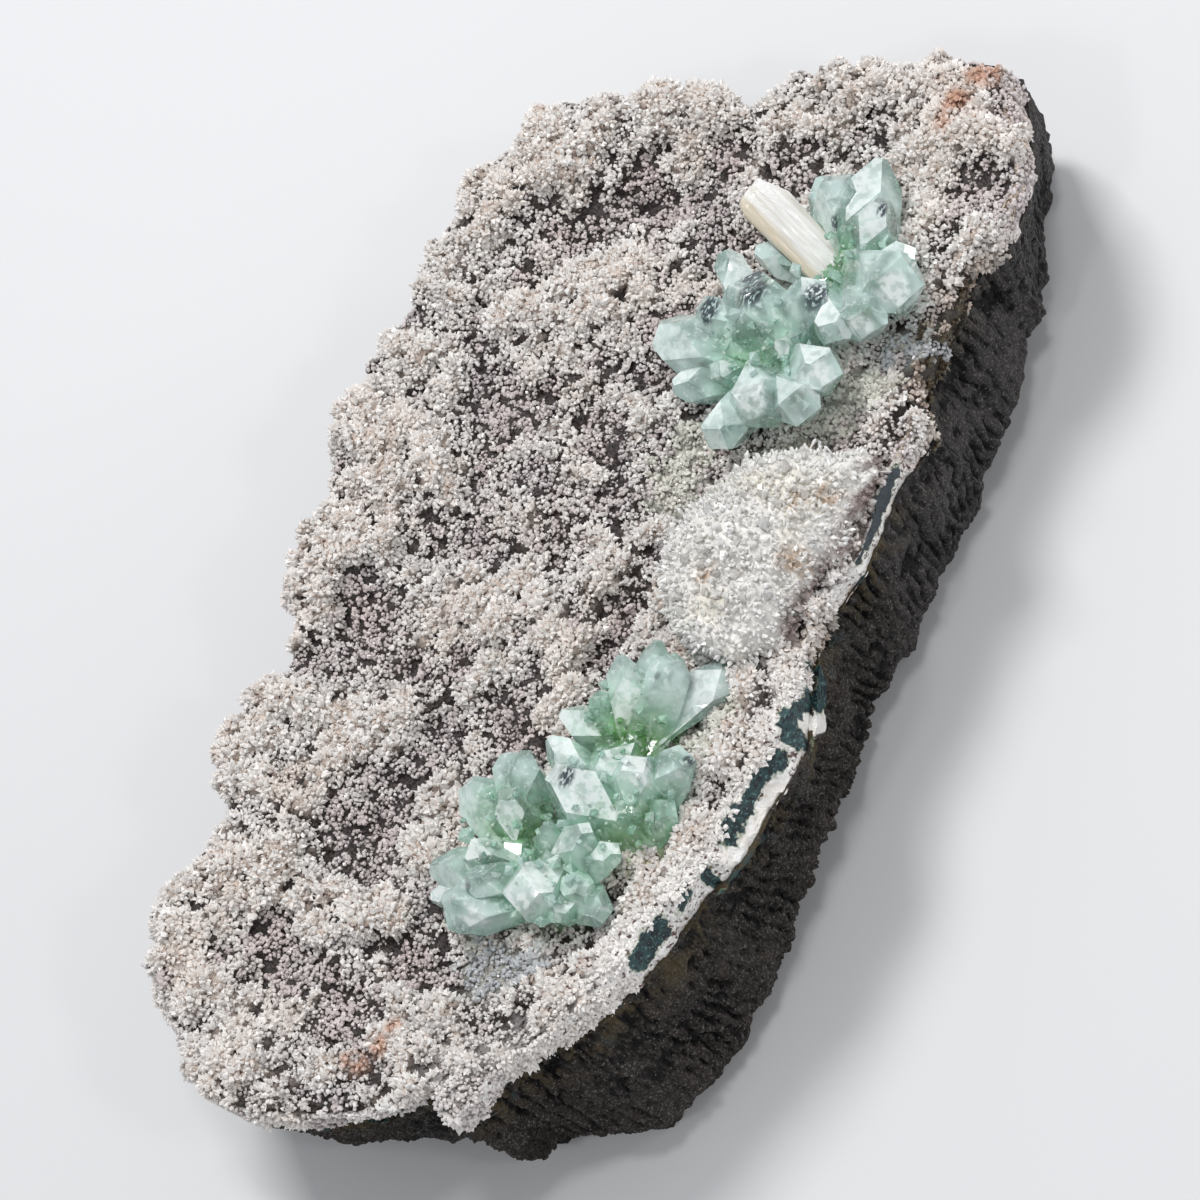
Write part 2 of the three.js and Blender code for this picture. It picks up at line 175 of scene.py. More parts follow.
class Finish:
    """A material with its nodes, in the object's own coordinates, sizes in millimetres."""

    def __init__(self, name, base=None):
        self.material = bpy.data.materials.new(name)
        self.material.use_nodes = True
        self.tree = self.material.node_tree
        self.shader = self.tree.nodes["Principled BSDF"]
        self.place = self.add("TexCoord")["Object"]
        self.base = base or self.attribute("tone", "Color")

    def put(self, socket, value):
        """Sets a socket to a number or colour, or links another socket to it."""
        if isinstance(value, bpy.types.NodeSocket):
            self.tree.links.new(value, socket)
        else:
            socket.default_value = value

    def add(self, kind, *values, inputs=None, **settings):
        """Adds a node with these inputs, first by their order, then by name; returns its outputs."""
        node = self.tree.nodes.new("ShaderNode" + kind)
        for name, value in settings.items():
            setattr(node, name, value)
        for key, value in (*enumerate(values), *(inputs or {}).items()):
            self.put(node.inputs[key], value)
        return node.outputs

    def attribute(self, name, output="Fac"):
        return self.add("Attribute", attribute_name=name)[output]

    def texture(self, kind, size, place=None, **more):
        inputs = {"Vector": place or self.place, "Scale": 1 / (size * MM), **more}
        return self.add("Tex" + kind, inputs=inputs)

    def noise(self, size, detail=2.0, place=None):
        """Noise from 0 to 1, with features `size` apart."""
        return self.texture("Noise", size, place, Detail=detail)[0]

    def stretched(self, *stretch):
        """The object's coordinates, each axis stretched."""
        return self.add("Mapping", self.place, inputs={"Scale": stretch})[0]

    def distance(self, spot, place=None):
        """How far the coordinates are from a spot."""
        spot = [length * MM for length in spot]
        return self.add("VectorMath", place or self.place, spot, operation="DISTANCE")["Value"]

    def axis(self, name, place=None):
        return self.add("SeparateXYZ", place or self.place)[name]

    def math(self, operation, *values):
        return self.add("Math", *values, operation=operation)[0]

    def times(self, first, second):
        return self.math("MULTIPLY", first, second)

    def step(self, *values):
        """Goes smoothly from start to end, by a value, its low and high, and start and end."""
        return self.add("MapRange", *values, interpolation_type="SMOOTHSTEP")[0]

    def cloud(self, size, detail, *limits, place=None):
        """A step over noise, by its low and high, and start and end."""
        return self.step(self.noise(size, detail, place), *limits)

    def blend(self, share, first, second, kind="MIX"):
        inputs = {6: first, 7: second}
        return self.add("Mix", share, inputs=inputs, data_type="RGBA", blend_type=kind)[2]

    def lay(self, colour, share, most=1.0, kind="MIX"):
        """Lays a colour over the base, by a share that is scaled by `most`."""
        share = self.times(share, most) if most < 1 else share
        self.base = self.blend(share, self.base, colour, kind)

    def shade(self, factor):
        """Makes the base darker or lighter."""
        self.lay(factor, 1.0, kind="MULTIPLY")

    def bump(self, height, depth, strength=1.0):
        inputs = {"Height": height, "Distance": depth * MM, "Strength": strength}
        self.put(self.shader.inputs["Normal"], self.add("Bump", inputs=inputs)[0])

    def done(self, roughness, clear=0.0, ior=1.5):
        """The material, with its base colour, its gloss and how clear it is."""
        for name, value in (("Base Color", self.base), ("Roughness", roughness),
                            ("Transmission Weight", clear), ("IOR", ior)):
            self.put(self.shader.inputs[name], value)
        return self.material


# ---- Numbers and meshes ----

WELD = 1e-6  # metres within which a CAD mesh's points are one
SMOOTHINGS = 3  # rounds, for a mesh of voxels
# Kinds of mesh attribute and the names of their data, by how many numbers a point has.
LAYER_KINDS = {1: ("FLOAT", "value"), 3: ("FLOAT_VECTOR", "vector"), 4: ("FLOAT_COLOR", "color")}
LATTICE_SIZE = 40
LATTICE = np.random.default_rng(11).uniform(-1, 1, (LATTICE_SIZE,) * 3)


def noise(points, size, layer):
    """Noise from -1 to 1 in features `size` apart; each layer is another pattern."""
    place = points / size + 13.7 * layer
    cell = np.floor(place).astype(int)
    part = place - cell
    part = part * part * (3 - 2 * part)
    total = np.zeros(len(points))
    for corner in itertools.product((0, 1), repeat=3):
        weight = np.prod(np.where(corner, part, 1 - part), axis=1)
        total += weight * LATTICE[tuple(((cell + corner) % LATTICE_SIZE).T)]
    return total


def noises(points, *terms):
    """Noises added up, each by its strength, size and layer."""
    return sum(strength * noise(points, size, layer) for strength, size, layer in terms)


def ease(values, low, high):
    """Goes smoothly from 0 to 1 as the values go from low to high."""
    share = np.clip((values - low) / (high - low), 0, 1)
    return share * share * (3 - 2 * share)


def fade(values, low, high):
    """Goes smoothly from 1 to 0 as the values go from low to high."""
    return ease(-values, -high, -low)


def unit(vectors):
    return vectors / np.maximum(np.linalg.norm(vectors, axis=-1, keepdims=True), 1e-9)


def mix(first, second, share):
    """Rows between two values or sets of rows, by a share for each row."""
    share = np.reshape(share, (-1, 1))
    return np.asarray(first) * (1 - share) + np.asarray(second) * share


def opaque(tones):
    return np.c_[tones[:, :3], np.ones(len(tones))]


def mesh_arrays(mesh):
    """A mesh's points in millimetres and its triangles."""
    points = np.empty(len(mesh.vertices) * 3)
    mesh.vertices.foreach_get("co", points)
    mesh.calc_loop_triangles()
    triangles = np.empty(len(mesh.loop_triangles) * 3, dtype=int)
    mesh.loop_triangles.foreach_get("vertices", triangles)
    return points.reshape(-1, 3) / MM, triangles.reshape(-1, 3)


def face_normals(points, triangles):
    """The normal of each triangle, as long as twice its area."""
    a, b, c = points[triangles].swapaxes(0, 1)
    return np.cross(b - a, c - a)


def point_normals(points, triangles):
    facing = face_normals(points, triangles)
    normals = np.zeros_like(points)
    for corner in triangles.T:
        np.add.at(normals, corner, facing)
    return unit(normals)


def smoothed(points, triangles):
    """Points moved, round by round, towards the mean of their neighbours."""
    pairs = np.vstack([triangles[:, [0, 1]], triangles[:, [1, 2]], triangles[:, [2, 0]]])
    count = np.bincount(pairs[:, 0], minlength=len(points))[:, None]
    for _ in range(SMOOTHINGS):
        total = np.zeros_like(points)
        np.add.at(total, pairs[:, 0], points[pairs[:, 1]])
        points = 0.5 * points + 0.5 * total / np.maximum(count, 1)
    return points


def even_mesh(node, voxel):
    """Points and triangles of a CAD node, remeshed evenly and smoothed."""
    copy = add_object("even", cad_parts[node].data.copy())
    remesh = copy.modifiers.new("even", "REMESH")
    remesh.mode = "VOXEL"
    remesh.voxel_size = voxel * MM
    evaluated = copy.evaluated_get(bpy.context.evaluated_depsgraph_get())
    points, triangles = mesh_arrays(evaluated.to_mesh())
    evaluated.to_mesh_clear()
    bpy.data.objects.remove(copy)
    return smoothed(points, triangles), triangles


def node_tree(*nodes):
    """A search tree of CAD nodes, in millimetres."""
    all_points = []
    all_triangles = []
    for node in nodes:
        points, triangles = mesh_arrays(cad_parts[node].data)
        all_triangles += (triangles + len(all_points)).tolist()
        all_points += points.tolist()
    return BVHTree.FromPolygons(all_points, all_triangles)


def point_tree(points):
    tree = KDTree(len(points))
    for i, point in enumerate(points):
        tree.insert(point, i)
    tree.balance()
    return tree


def nearest_numbers(tree, points):
    """For each point, the number of the tree's nearest one."""
    return np.array([tree.find(point)[1] for point in points])


def ring_faces(rings):
    """Faces between closed rings of points, one above the other, from the points' numbers."""
    after = np.roll(rings, -1, 1)
    return np.dstack([rings[:-1], after[:-1], after[1:], rings[1:]]).reshape(-1, 4).tolist()


def seen_from(height, tree, x, y):
    """Where a ray straight down first meets the tree's solids, or None."""
    return tree.ray_cast((x, y, height), (0, 0, -1))[0]


def depth_inside(tree, points, reach):
    """How deep each point lies inside the tree's solids, 0 outside, looking `reach` far."""
    depths = np.zeros(len(points))
    for i, point in enumerate(points):
        place, _, _, distance = tree.find_nearest(point, reach)
        above = tree.ray_cast(point, (0, 0, 1))[1]
        if place is not None and above is not None and above.z > 0:
            depths[i] = distance
    return depths


def dress(mesh, finish, replaces=()):
    """Makes a mesh an object that rides on the slab."""
    mesh.materials.append(finish)
    piece = add_object(mesh.name, mesh)
    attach(piece, "root")
    if replaces:
        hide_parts(*replaces)


def make_piece(name, points, faces, finish, slot, replaces=(), **layers):
    """Makes a piece from points in millimetres, and numbers, places or colours for each."""
    low, high = np.array(cad_box)
    mesh = bpy.data.meshes.new(name)
    mesh.from_pydata(np.clip(points * MM, low, high).tolist(), [], [list(face) for face in faces])
    for layer, values in layers.items():
        kind, field = LAYER_KINDS[values.size // len(points)]
        data = mesh.attributes.new(layer, kind, "POINT").data
        data.foreach_set(field, values.astype(np.float32).ravel())
    dress(mesh, finish, replaces)


def spread_sites(points, triangles, spacing, rng):
    """Spots spread over a mesh about `spacing` apart, with the number of each one's triangle."""
    area = np.linalg.norm(face_normals(points, triangles), axis=1) / 2
    count = int(5 * area.sum() / spacing ** 2)
    which = rng.choice(len(triangles), count, p=area / area.sum())
    u, v = rng.random((2, count, 1))
    over = u + v > 1
    u, v = np.where(over, 1 - u, u), np.where(over, 1 - v, v)
    a, b, c = points[triangles[which]].swapaxes(0, 1)
    sites = a + u * (b - a) + v * (c - a)
    cells = np.floor(sites / spacing).astype(int)
    _, kept = np.unique(cells, axis=0, return_index=True)
    return sites[kept], which[kept]


def scattered(points, triangles, facing, spacing, rng):
    """Spots spread over a mesh, none nearer than `spacing` to another, and how each faces."""
    sites, which = spread_sites(points, triangles, spacing / 2.4, rng)
    finder = point_tree(sites)
    free = np.ones(len(sites), dtype=bool)
    kept = []
    for i in rng.permutation(len(sites)):
        if free[i]:
            kept.append(i)
            for _, near, _ in finder.find_range(sites[i], spacing):
                free[near] = False
    return sites[kept], facing[which[kept]]


def tangents(axes):
    """Two directions square to each axis and to each other."""
    helper = np.where(np.abs(axes[:, 2:]) < 0.9, (0, 0, 1.0), (1.0, 0, 0))
    across = unit(np.cross(axes, helper))
    return across, np.cross(axes, across)


def crystal_points(feet, axes, lengths, widths, sides, cap, rng):
    """Pointed crystals, each a closed spindle, broadest `cap` of its width below its tip.

    Returns the points, the triangles and the height of each point above its foot.
    """
    count = len(feet)
    cap = np.reshape(cap * widths, (count, 1))
    across, along = tangents(axes)
    roll = rng.uniform(0, 2 * np.pi, (count, 1)) + np.arange(sides) * 2 * np.pi / sides
    reach = widths[:, None] / 2 * rng.uniform(0.7, 1.25, (count, sides))
    belt_height = lengths[:, None] - cap * rng.uniform(0.75, 1.2, (count, sides))
    belt = (feet[:, None] + across[:, None] * (reach * np.cos(roll))[..., None]
            + along[:, None] * (reach * np.sin(roll))[..., None]
            + axes[:, None] * belt_height[..., None])
    tips = feet + axes * lengths[:, None]
    points = np.concatenate([feet[:, None], belt, tips[:, None]], axis=1).reshape(-1, 3)
    heights = np.concatenate(
        [np.zeros((count, 1)), belt_height, lengths[:, None]], axis=1).ravel()
    ring = [(k + 1, (k + 1) % sides + 1) for k in range(sides)]
    shape = np.array([(0, after, before) for before, after in ring]
                     + [(before, after, sides + 1) for before, after in ring])
    start = np.arange(count)[:, None, None] * (sides + 2)
    return points, (shape[None] + start).reshape(-1, 3), heights


# ---- The slab's wall ----

WALL_STEP = 0.84  # between the columns of the wall's mesh
WALL_ROWS = 70
WALL_LEVEL = 44.0  # height of the outline that the columns start from
TRACK_REACH = 5.0  # how far the wall may lie from where the last row found it
ROW_GAP = 0.02  # keeps the rays for the offsets off the wall's top and foot
CHISEL_PERIOD = 4.3
CHISEL_DEPTH = 1.9
CHISEL_LEANS = (-0.2, 0.2)  # how far a groove runs along the wall for each millimetre up
LEAN_TURN = (-10, 70)  # where along Y the lean goes from the one to the other
LIP_HEIGHT = 1.1  # how far the rock's edge reaches up inside the crust
CHALK_RISE = 1.3  # how far the white and teal patches stand out of the rock
TOOTH_PERIOD = 2.7
TOOTH_DEPTH = 0.6
LID_SHARES = (0.9, 0.6, 0.3)  # sizes of the rings of the rock's lid
LID_RAY = 100  # height from which its form is looked for
FACING_BLUR = 8  # columns to either side over which the wall's direction is averaged
OFFSET_BLUR = 4


def level_outline(node, height):
    """A node's outline at a height, as points in order, anticlockwise."""
    section = bmesh.new()
    section.from_mesh(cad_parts[node].data)
    bmesh.ops.remove_doubles(section, verts=section.verts, dist=WELD)
    everything = section.verts[:] + section.edges[:] + section.faces[:]
    bmesh.ops.bisect_plane(section, geom=everything, plane_co=(0, 0, height * MM),
                           plane_no=(0, 0, 1), clear_inner=True, clear_outer=True)
    section.verts.ensure_lookup_table()
    start = section.verts[0]
    outline = [start]
    edge = start.link_edges[0]
    here = edge.other_vert(start)
    while here != start:
        outline.append(here)
        edge = next(other for other in here.link_edges if other != edge)
        here = edge.other_vert(here)
    points = np.array([vert.co[:2] for vert in outline]) / MM
    section.free()
    x, y = points.T
    turning = np.sum(x * np.roll(y, -1) - y * np.roll(x, -1))
    return points if turning > 0 else points[::-1]


def even_loop(points, step):
    """Points `step` apart along a closed loop."""
    closed = np.vstack([points, points[:1]])
    along = np.r_[0, np.cumsum(np.linalg.norm(np.diff(closed, axis=0), axis=1))]
    places = np.linspace(0, along[-1], round(along[-1] / step), endpoint=False)
    return np.c_[np.interp(places, along, closed[:, 0]), np.interp(places, along, closed[:, 1])]


def blurred(values, reach, axis=0):
    """Values averaged with their neighbours round a closed loop."""
    return sum(np.roll(values, k, axis) for k in range(-reach, reach + 1)) / (2 * reach + 1)


class Wall:
    """The slab's wall as columns of points: where each stands and how it faces."""

    def __init__(self):
        self.tree = node_tree("basalt_matrix")
        self.start = even_loop(level_outline("basalt_matrix", WALL_LEVEL), WALL_STEP)
        ahead = np.roll(self.start, -1, 0) - np.roll(self.start, 1, 0)
        self.outward = unit(blurred(unit(np.c_[ahead[:, 1], -ahead[:, 0]]), FACING_BLUR))
        self.count = len(self.start)
        self.top = np.array([self.find_top(i) for i in range(self.count)])
        self.offsets = self.find_offsets()
        self.border = self.start + self.outward * self.offsets[-1][:, None]
        self.finder = point_tree(np.c_[self.border, np.zeros(self.count)])

    def offset(self, i, height, last):
        """How far out the wall is at a height, near the last offset, or None above it."""
        outward = self.outward[i]
        x, y = self.start[i] + outward * (last + TRACK_REACH)
        hit, _, _, distance = self.tree.ray_cast(
            (x, y, height), (-outward[0], -outward[1], 0), 2 * TRACK_REACH)
        return None if hit is None else last + TRACK_REACH - distance

    def find_top(self, i):
        height = WALL_LEVEL
        last = 0.0
        step = 1.0
        while step > 0.05:
            found = self.offset(i, height + step, last)
            if found is None:
                step /= 2
            else:
                height += step
                last = found
        return height

    def find_offsets(self):
        """Offsets by row and column, followed up and down from WALL_LEVEL."""
        offsets = np.zeros((WALL_ROWS, self.count))
        shares = np.linspace(0, 1, WALL_ROWS)
        for i in range(self.count):
            middle = int(WALL_LEVEL / self.top[i] * (WALL_ROWS - 1))
            for rows in (range(middle, WALL_ROWS), range(middle - 1, -1, -1)):
                last = offsets[middle, i]
                for row in rows:
                    height = min(max(shares[row] * self.top[i], ROW_GAP), self.top[i] - ROW_GAP)
                    found = self.offset(i, height, last)
                    last = last if found is None else found
                    offsets[row, i] = last
        return offsets

    def nearest(self, points):
        """For each point, the number of the nearest column, in plan."""
        return nearest_numbers(self.finder, points * (1, 1, 0))


def chisel_relief(wall, heights, places):
    """How far the chisel marks stand out, by row and column."""
    flat = places.reshape(-1, 3)
    bend = noises(flat, (3.0, 24, 1), (2.2, 9, 2), (1.0, 4, 35))
    turns = round(wall.count * WALL_STEP / CHISEL_PERIOD) / (wall.count * WALL_STEP)
    low_lean, high_lean = CHISEL_LEANS
    lean = low_lean + (high_lean - low_lean) * ease(flat[:, 1], *LEAN_TURN)
    along = np.tile(np.arange(wall.count) * WALL_STEP, len(heights))
    along -= lean * (flat[:, 2] - WALL_LEVEL)
    phase = along * turns + bend / CHISEL_PERIOD
    ridge = np.abs(np.sin(np.pi * phase)) ** 0.7 - 0.7
    strength = 0.3 + 0.9 * ease(noises(flat, (1, 20, 3), (0.6, 7, 33)), -0.6, 0.6)
    wave = np.sin(2 * np.pi * (flat[:, 2] / TOOTH_PERIOD + 0.37 * np.round(phase)))
    tooth = wave * ease(ridge, -0.4, 0.2) * fade(flat[:, 1], -20, 60)
    rough = noises(flat, (1.2, 17, 4), (0.6, 6, 5), (0.5, 2.6, 6), (0.4, 1.7, 7))
    rough -= 1.3 * ease(noise(flat, 5, 32), 0.42, 0.75)
    relief = strength * (CHISEL_DEPTH * ridge + TOOTH_DEPTH * tooth) + rough
    return relief.reshape(len(heights), -1)


def wall_mesh(wall):
    """The rock's points, faces and relief: its wall, a flat back, and a lid under the crust."""
    heights = np.linspace(0, 1, WALL_ROWS)[:, None] * wall.top
    heights[-1] += LIP_HEIGHT
    offsets = 0.5 * wall.offsets + 0.5 * blurred(wall.offsets, OFFSET_BLUR, 1)
    places = np.dstack([wall.start + wall.outward * offsets[..., None], heights])
    relief = chisel_relief(wall, heights, places)
    below = ease(wall.top - heights, -0.6, 0.9)
    relief = relief * below + 0.2 - 0.5 * below
    lumps = ease(run_field(places.reshape(-1, 3), [CHALK_LUMP] + TEAL_RUNS), -1.2, 0.8)
    lumps = lumps.reshape(heights.shape)
    relief = relief * (1 - lumps) + CHALK_RISE * lumps
    places[..., :2] += wall.outward * relief[..., None]
    middle = places[-1].mean(0)
    lid = [share * places[-1] + (1 - share) * middle for share in LID_SHARES]
    for point in itertools.chain(*lid):
        hit = seen_from(LID_RAY, wall.tree, *point[:2])
        point[2] = hit.z if hit else point[2]
    centre_top = seen_from(LID_RAY, wall.tree, *middle[:2])
    points = np.vstack([places.reshape(-1, 3), *lid, centre_top, middle * (1, 1, 0)])
    centre = len(points) - 2
    rings = np.arange(centre).reshape(-1, wall.count)
    faces = ring_faces(rings)
    for start, end in zip(rings[-1], np.roll(rings[-1], -1)):
        faces.append((start, end, centre))
    for start, end in zip(rings[0], np.roll(rings[0], -1)):
        faces.append((end, start, centre + 1))
    return points, faces, np.pad(relief.ravel(), (0, len(points) - relief.size))


def basalt_finish():
    finish = Finish("basalt", srgb(58, 53, 49))
    grain = finish.noise(0.8, 4.0)
    finish.lay(srgb(70, 67, 67), finish.step(finish.axis("Y"), -10 * MM, 60 * MM))
    finish.shade(finish.cloud(14, 3.0, 0.35, 0.65, 0.7, 1.0))
    finish.lay(srgb(124, 119, 115), finish.step(grain, 0.5, 0.78))
    contact = finish.attribute("contact")
    finish.lay(srgb(84, 72, 48), finish.times(contact, finish.cloud(7, 3.0, 0.4, 0.6)), 0.75)
    finish.lay(srgb(50, 78, 84), finish.times(contact, finish.cloud(9, 4.0, 0.58, 0.66)), 0.6)
    # Painted shade: the relief's grooves and low spots are laid near black, broken into short
    # dashes.
    groove_shade_dashes = finish.noise(1.9, 4.0, finish.stretched(1.0, 1.7, 0.5))
    uneven = finish.math("MULTIPLY_ADD", groove_shade_dashes, 4.5, finish.attribute("relief"))
    finish.base = finish.blend(finish.step(uneven, 0.7, 2.2), srgb(13, 12, 13), finish.base)
    specks = finish.step(finish.texture("Voronoi", 1.6)["Distance"], 0.08, 0.14)
    finish.base = finish.blend(specks, srgb(140, 137, 134), finish.base)
    lay_edge_minerals(finish)
    finish.put(finish.shader.inputs["Specular IOR Level"], 0.2)
    finish.bump(finish.math("ADD", grain, finish.noise(1.6, 4.0)), 0.9)
    return finish.done(finish.step(grain, 0.3, 0.7, 0.75, 0.5))


def add_basalt(wall):
    points, faces, relief = wall_mesh(wall)
    nearest = np.tile(np.arange(wall.count), len(points) // wall.count + 1)[:len(points)]
    depth = wall.top[nearest] - points[:, 2]
    upper = ease(points[:, 1] + 8 * noise(points, 20, 8), 30, 60)
    contact = fade(depth, 1, 16) * (1 - 0.7 * upper)
    make_piece("basalt_slab", points, faces, basalt_finish(), "basalt", ["basalt_matrix"],
               contact=contact, relief=relief, **edge_fields(points, [CHALK_LUMP]))


# ---- Minerals on the broken edge ----

FIELD_REACH = 9  # the distance outside a patch beyond which all is the same
# Dark celadonite and agate: points along each patch, and half its width.
TEAL_RUNS = [
    ([(79, 53, 63), (80, 46, 63)], 1.7), ([(80, 46, 63), (81, 39, 63), (82, 31, 64)], 3.0),
    ([(82, 31, 64), (82, 26, 65)], 2.0), ([(83, -5, 62), (84, -7, 59), (85, -9, 57)], 2.4),
    ([(85, -9, 57), (86, -12, 55), (88, -15, 62)], 3.6),
    ([(88, -17, 65), (88, -23, 70), (89, -26, 69), (93, -26, 64)], 2.6),
    ([(90, -34, 67), (88, -40, 69), (88, -46, 68), (88, -52, 69), (88, -59, 69)], 2.7),
    ([(87, -70, 68), (90, -71, 64)], 2.0), ([(85, -77, 71), (85, -81, 69)], 1.5),
    ([(83, -89, 70), (82, -93, 70), (81, -98, 68)], 3.5),
    ([(38, -161, 64), (34, -165, 63), (22, -173, 63)], 1.6),
]
# White chalcedony: a lump on the rock, and what lies in the crust's section.
CHALK_LUMP = ([(90, -21, 64), (91, -20, 61), (90, -18, 57)], 4.1)
CHALK_RUNS = [
    CHALK_LUMP, ([(80, 55, 66), (82, 46, 60), (84, 34, 59), (84, 24, 62)], 1.8),
    ([(92, -36, 66), (92, -42, 65)], 3.0), ([(93, -46, 64.5), (92, -51, 64.5)], 3.8),
    ([(91, -55, 66), (90, -62, 66)], 3.3), ([(85, -91, 66), (84, -96, 65)], 0.8),
]


def run_distance(points, run):
    """The distance of each point from a line through the run's points."""
    distance = np.full(len(points), np.inf)
    for start, end in zip(run, run[1:]):
        start = np.array(start, float)
        leg = np.array(end, float) - start
        share = np.clip((points - start) @ leg / (leg @ leg), 0, 1)
        distance = np.minimum(
            distance, np.linalg.norm(points - start - share[:, None] * leg, axis=1))
    return distance


def run_field(points, runs):
    """Above 0 within half its width of a run, 0 at its edge, in millimetres."""
    return np.max([half - run_distance(points, run) for run, half in runs], axis=0)


def edge_fields(points, chalk_runs):
    """How far inside the teal and the white patches of the broken edge points lie."""
    return {name: np.maximum(run_field(points, runs), -FIELD_REACH)
            for name, runs in (("teal", TEAL_RUNS), ("chalk", chalk_runs))}


def lay_edge_minerals(finish):
    """Lays the white and teal patches of the broken edge over the base."""
    wander = finish.math("MULTIPLY_ADD", finish.noise(2.8, 6.0), 6.0, -3.0)
    chalk, teal = (
        finish.math("ADD", finish.attribute(name), wander) for name in ("chalk", "teal"))
    cream = finish.blend(
        finish.cloud(5.0, 3.0, 0.35, 0.7), srgb(255, 254, 252), srgb(238, 230, 222))
    finish.lay(cream, finish.step(chalk, 0.0, 0.35))
    finish.lay(srgb(142, 158, 120), finish.step(teal, -0.6, -0.15), 0.5)
    dark = finish.blend(finish.cloud(2.2, 4.0, 0.4, 0.6), srgb(18, 28, 34), srgb(42, 74, 76))
    flecks = finish.times(finish.cloud(0.8, 4.0, 0.55, 0.68), 0.8)
    dark = finish.blend(flecks, dark, srgb(112, 150, 148))
    agate = finish.step(finish.axis("Y"), 22 * MM, 32 * MM, 0.15, 0.85)
    dark = finish.blend(agate, dark, srgb(54, 62, 70))
    finish.lay(dark, finish.step(teal, -0.15, 0.25))


# ---- The druse crust ----

CRUST_VOXEL = 1.7
BASE_DROP = 2.6  # how far the base lies under the crust's face in the valleys
CLUMP_RISE = 3.0  # how much higher it is in the white clumps
BROKEN_LINE = ((51, 174), (-20, -183))  # the broken side of the rim is to the right of it
RELIEF_STEP = 4.0  # grid on which the crust's height is compared with its surroundings
RELIEF_REACH = 5  # steps
RELIEF_RAY = 200  # height from which the face is looked for
KNOB_SPACING = 6.8
KNOB_RISE = 3.0
SEAM_OVERLAP = 1.5  # how far the base's underside is let into the rock
SEAM_BULGE = 0.9  # how far the section's foot stands out, over the rock's edge
ROSETTE_SPACING = 2.3  # least distance between two rosettes
ROSETTE_PARTS = 9  # crystals in a rosette
ROSETTE_LEAN = (0.4, 1.25)  # slope of the outer ones from the upright
ROSETTE_SUNK = 0.8
PART_LENGTH = (1.9, 3.0)
PART_WIDTH = (1.35, 2.1)
PART_SIDES = 5
GRAIN_PIECES = 5
BARE_SHARE = 0.22  # of the triangles of the bare strip that rosettes may stand on
SOLID_REACH = 12  # how deep inside a solid a spot may be looked for
SECTION_REACH = 12  # how far in from the rock's border the section may lie
STRIP_REACH = 9  # the same for the bare strip
FAR_ABOVE = 99  # stands for points that the bare strip has nothing to do with
BEADED_SPANS = [(-190, -104), (-11, 11), (58, 190)]  # along Y: the broken edge is beaded too
EARTHY_SPOTS = [(80, 0, 9)]  # where the broken edge is brown: x, y, radius

# Dark valleys of the druse: points along each, and half its width.
DARK_RUNS = [
    ([(-16, 130), (-18, 123), (-19, 114)], 6), ([(-36, 112), (-44, 98), (-50, 88)], 6),
    ([(-65, 56), (-62, 48)], 5), ([(-46, 36), (-39, 24)], 5), ([(-8, 42), (-4, 34)], 4),
    ([(-25, 20), (-8, 16), (13, 22)], 4), ([(-47, -8), (-41, -21)], 6),
    ([(-58, -34), (-52, -41)], 5), ([(24, 8), (22, -11), (20, -29)], 5),
    ([(-16, -46), (-16, -68), (-14, -83), (-12, -95), (-8, -108)], 6),
    ([(-18, -142), (-8, -146)], 5), ([(2, -126), (12, -124), (24, -125)], 6),
    ([(10, -146), (18, -141)], 5), ([(60, -146), (57, -155)], 5), ([(58, 163), (66, 160)], 5),
    ([(59, 138), (65, 140), (73, 136)], 6), ([(72, 134), (73, 150)], 3), ([(71, 101), (71, 95)], 3),
    ([(76, 80), (75, 70), (77, 62)], 6),
]
# Full white ridges of the druse, in the same way.
WHITE_RUNS = [
    ([(-82, 88), (-72, 109), (-47, 128), (-27, 141)], 9), ([(-44, 127), (-25, 121)], 6),
    ([(-6, 146), (17, 163), (45, 160)], 9), ([(43, 142), (54, 150), (63, 157)], 7),
    ([(-83, 15), (-59, 9), (-49, 1)], 9), ([(-72, -34), (-59, -17), (-39, -18)], 8),
    ([(-18, -26), (1, -10), (21, 4)], 6), ([(-40, -79), (-16, -55), (2, -36), (17, -26)], 7),
    ([(-64, -94), (-54, -70)], 7), ([(-49, -137), (-37, -119), (-19, -112)], 9),
    ([(3, -106), (10, -90)], 6), ([(-18, -131), (8, -113)], 5), ([(-30, -161), (-5, -175)], 8),
    ([(-63, 50), (-44, 67), (-22, 85)], 7), ([(-27, -39), (-3, -26)], 4),
    ([(70, -21), (78, -36), (74, -48), (79, -60), (74, -76)], 7),
]
# Glassy, greenish or grey druse round the feet of the green crystals: x, y, radius.
GLASSY_SPOTS = [
    (19, 27, 9), (16, 41, 7), (46, 48, 8), (60, 72, 8), (54, 62, 7), (10, 84, 5),
    (65, -38, 6), (68, -27, 5), (30, -108, 6),
]
# Clear or greyish crystals of quartz, in the same way.
ICE_SPOTS = [(64, 87, 6), (71, 91, 5), (42, -118, 9), (53, -113, 6)]
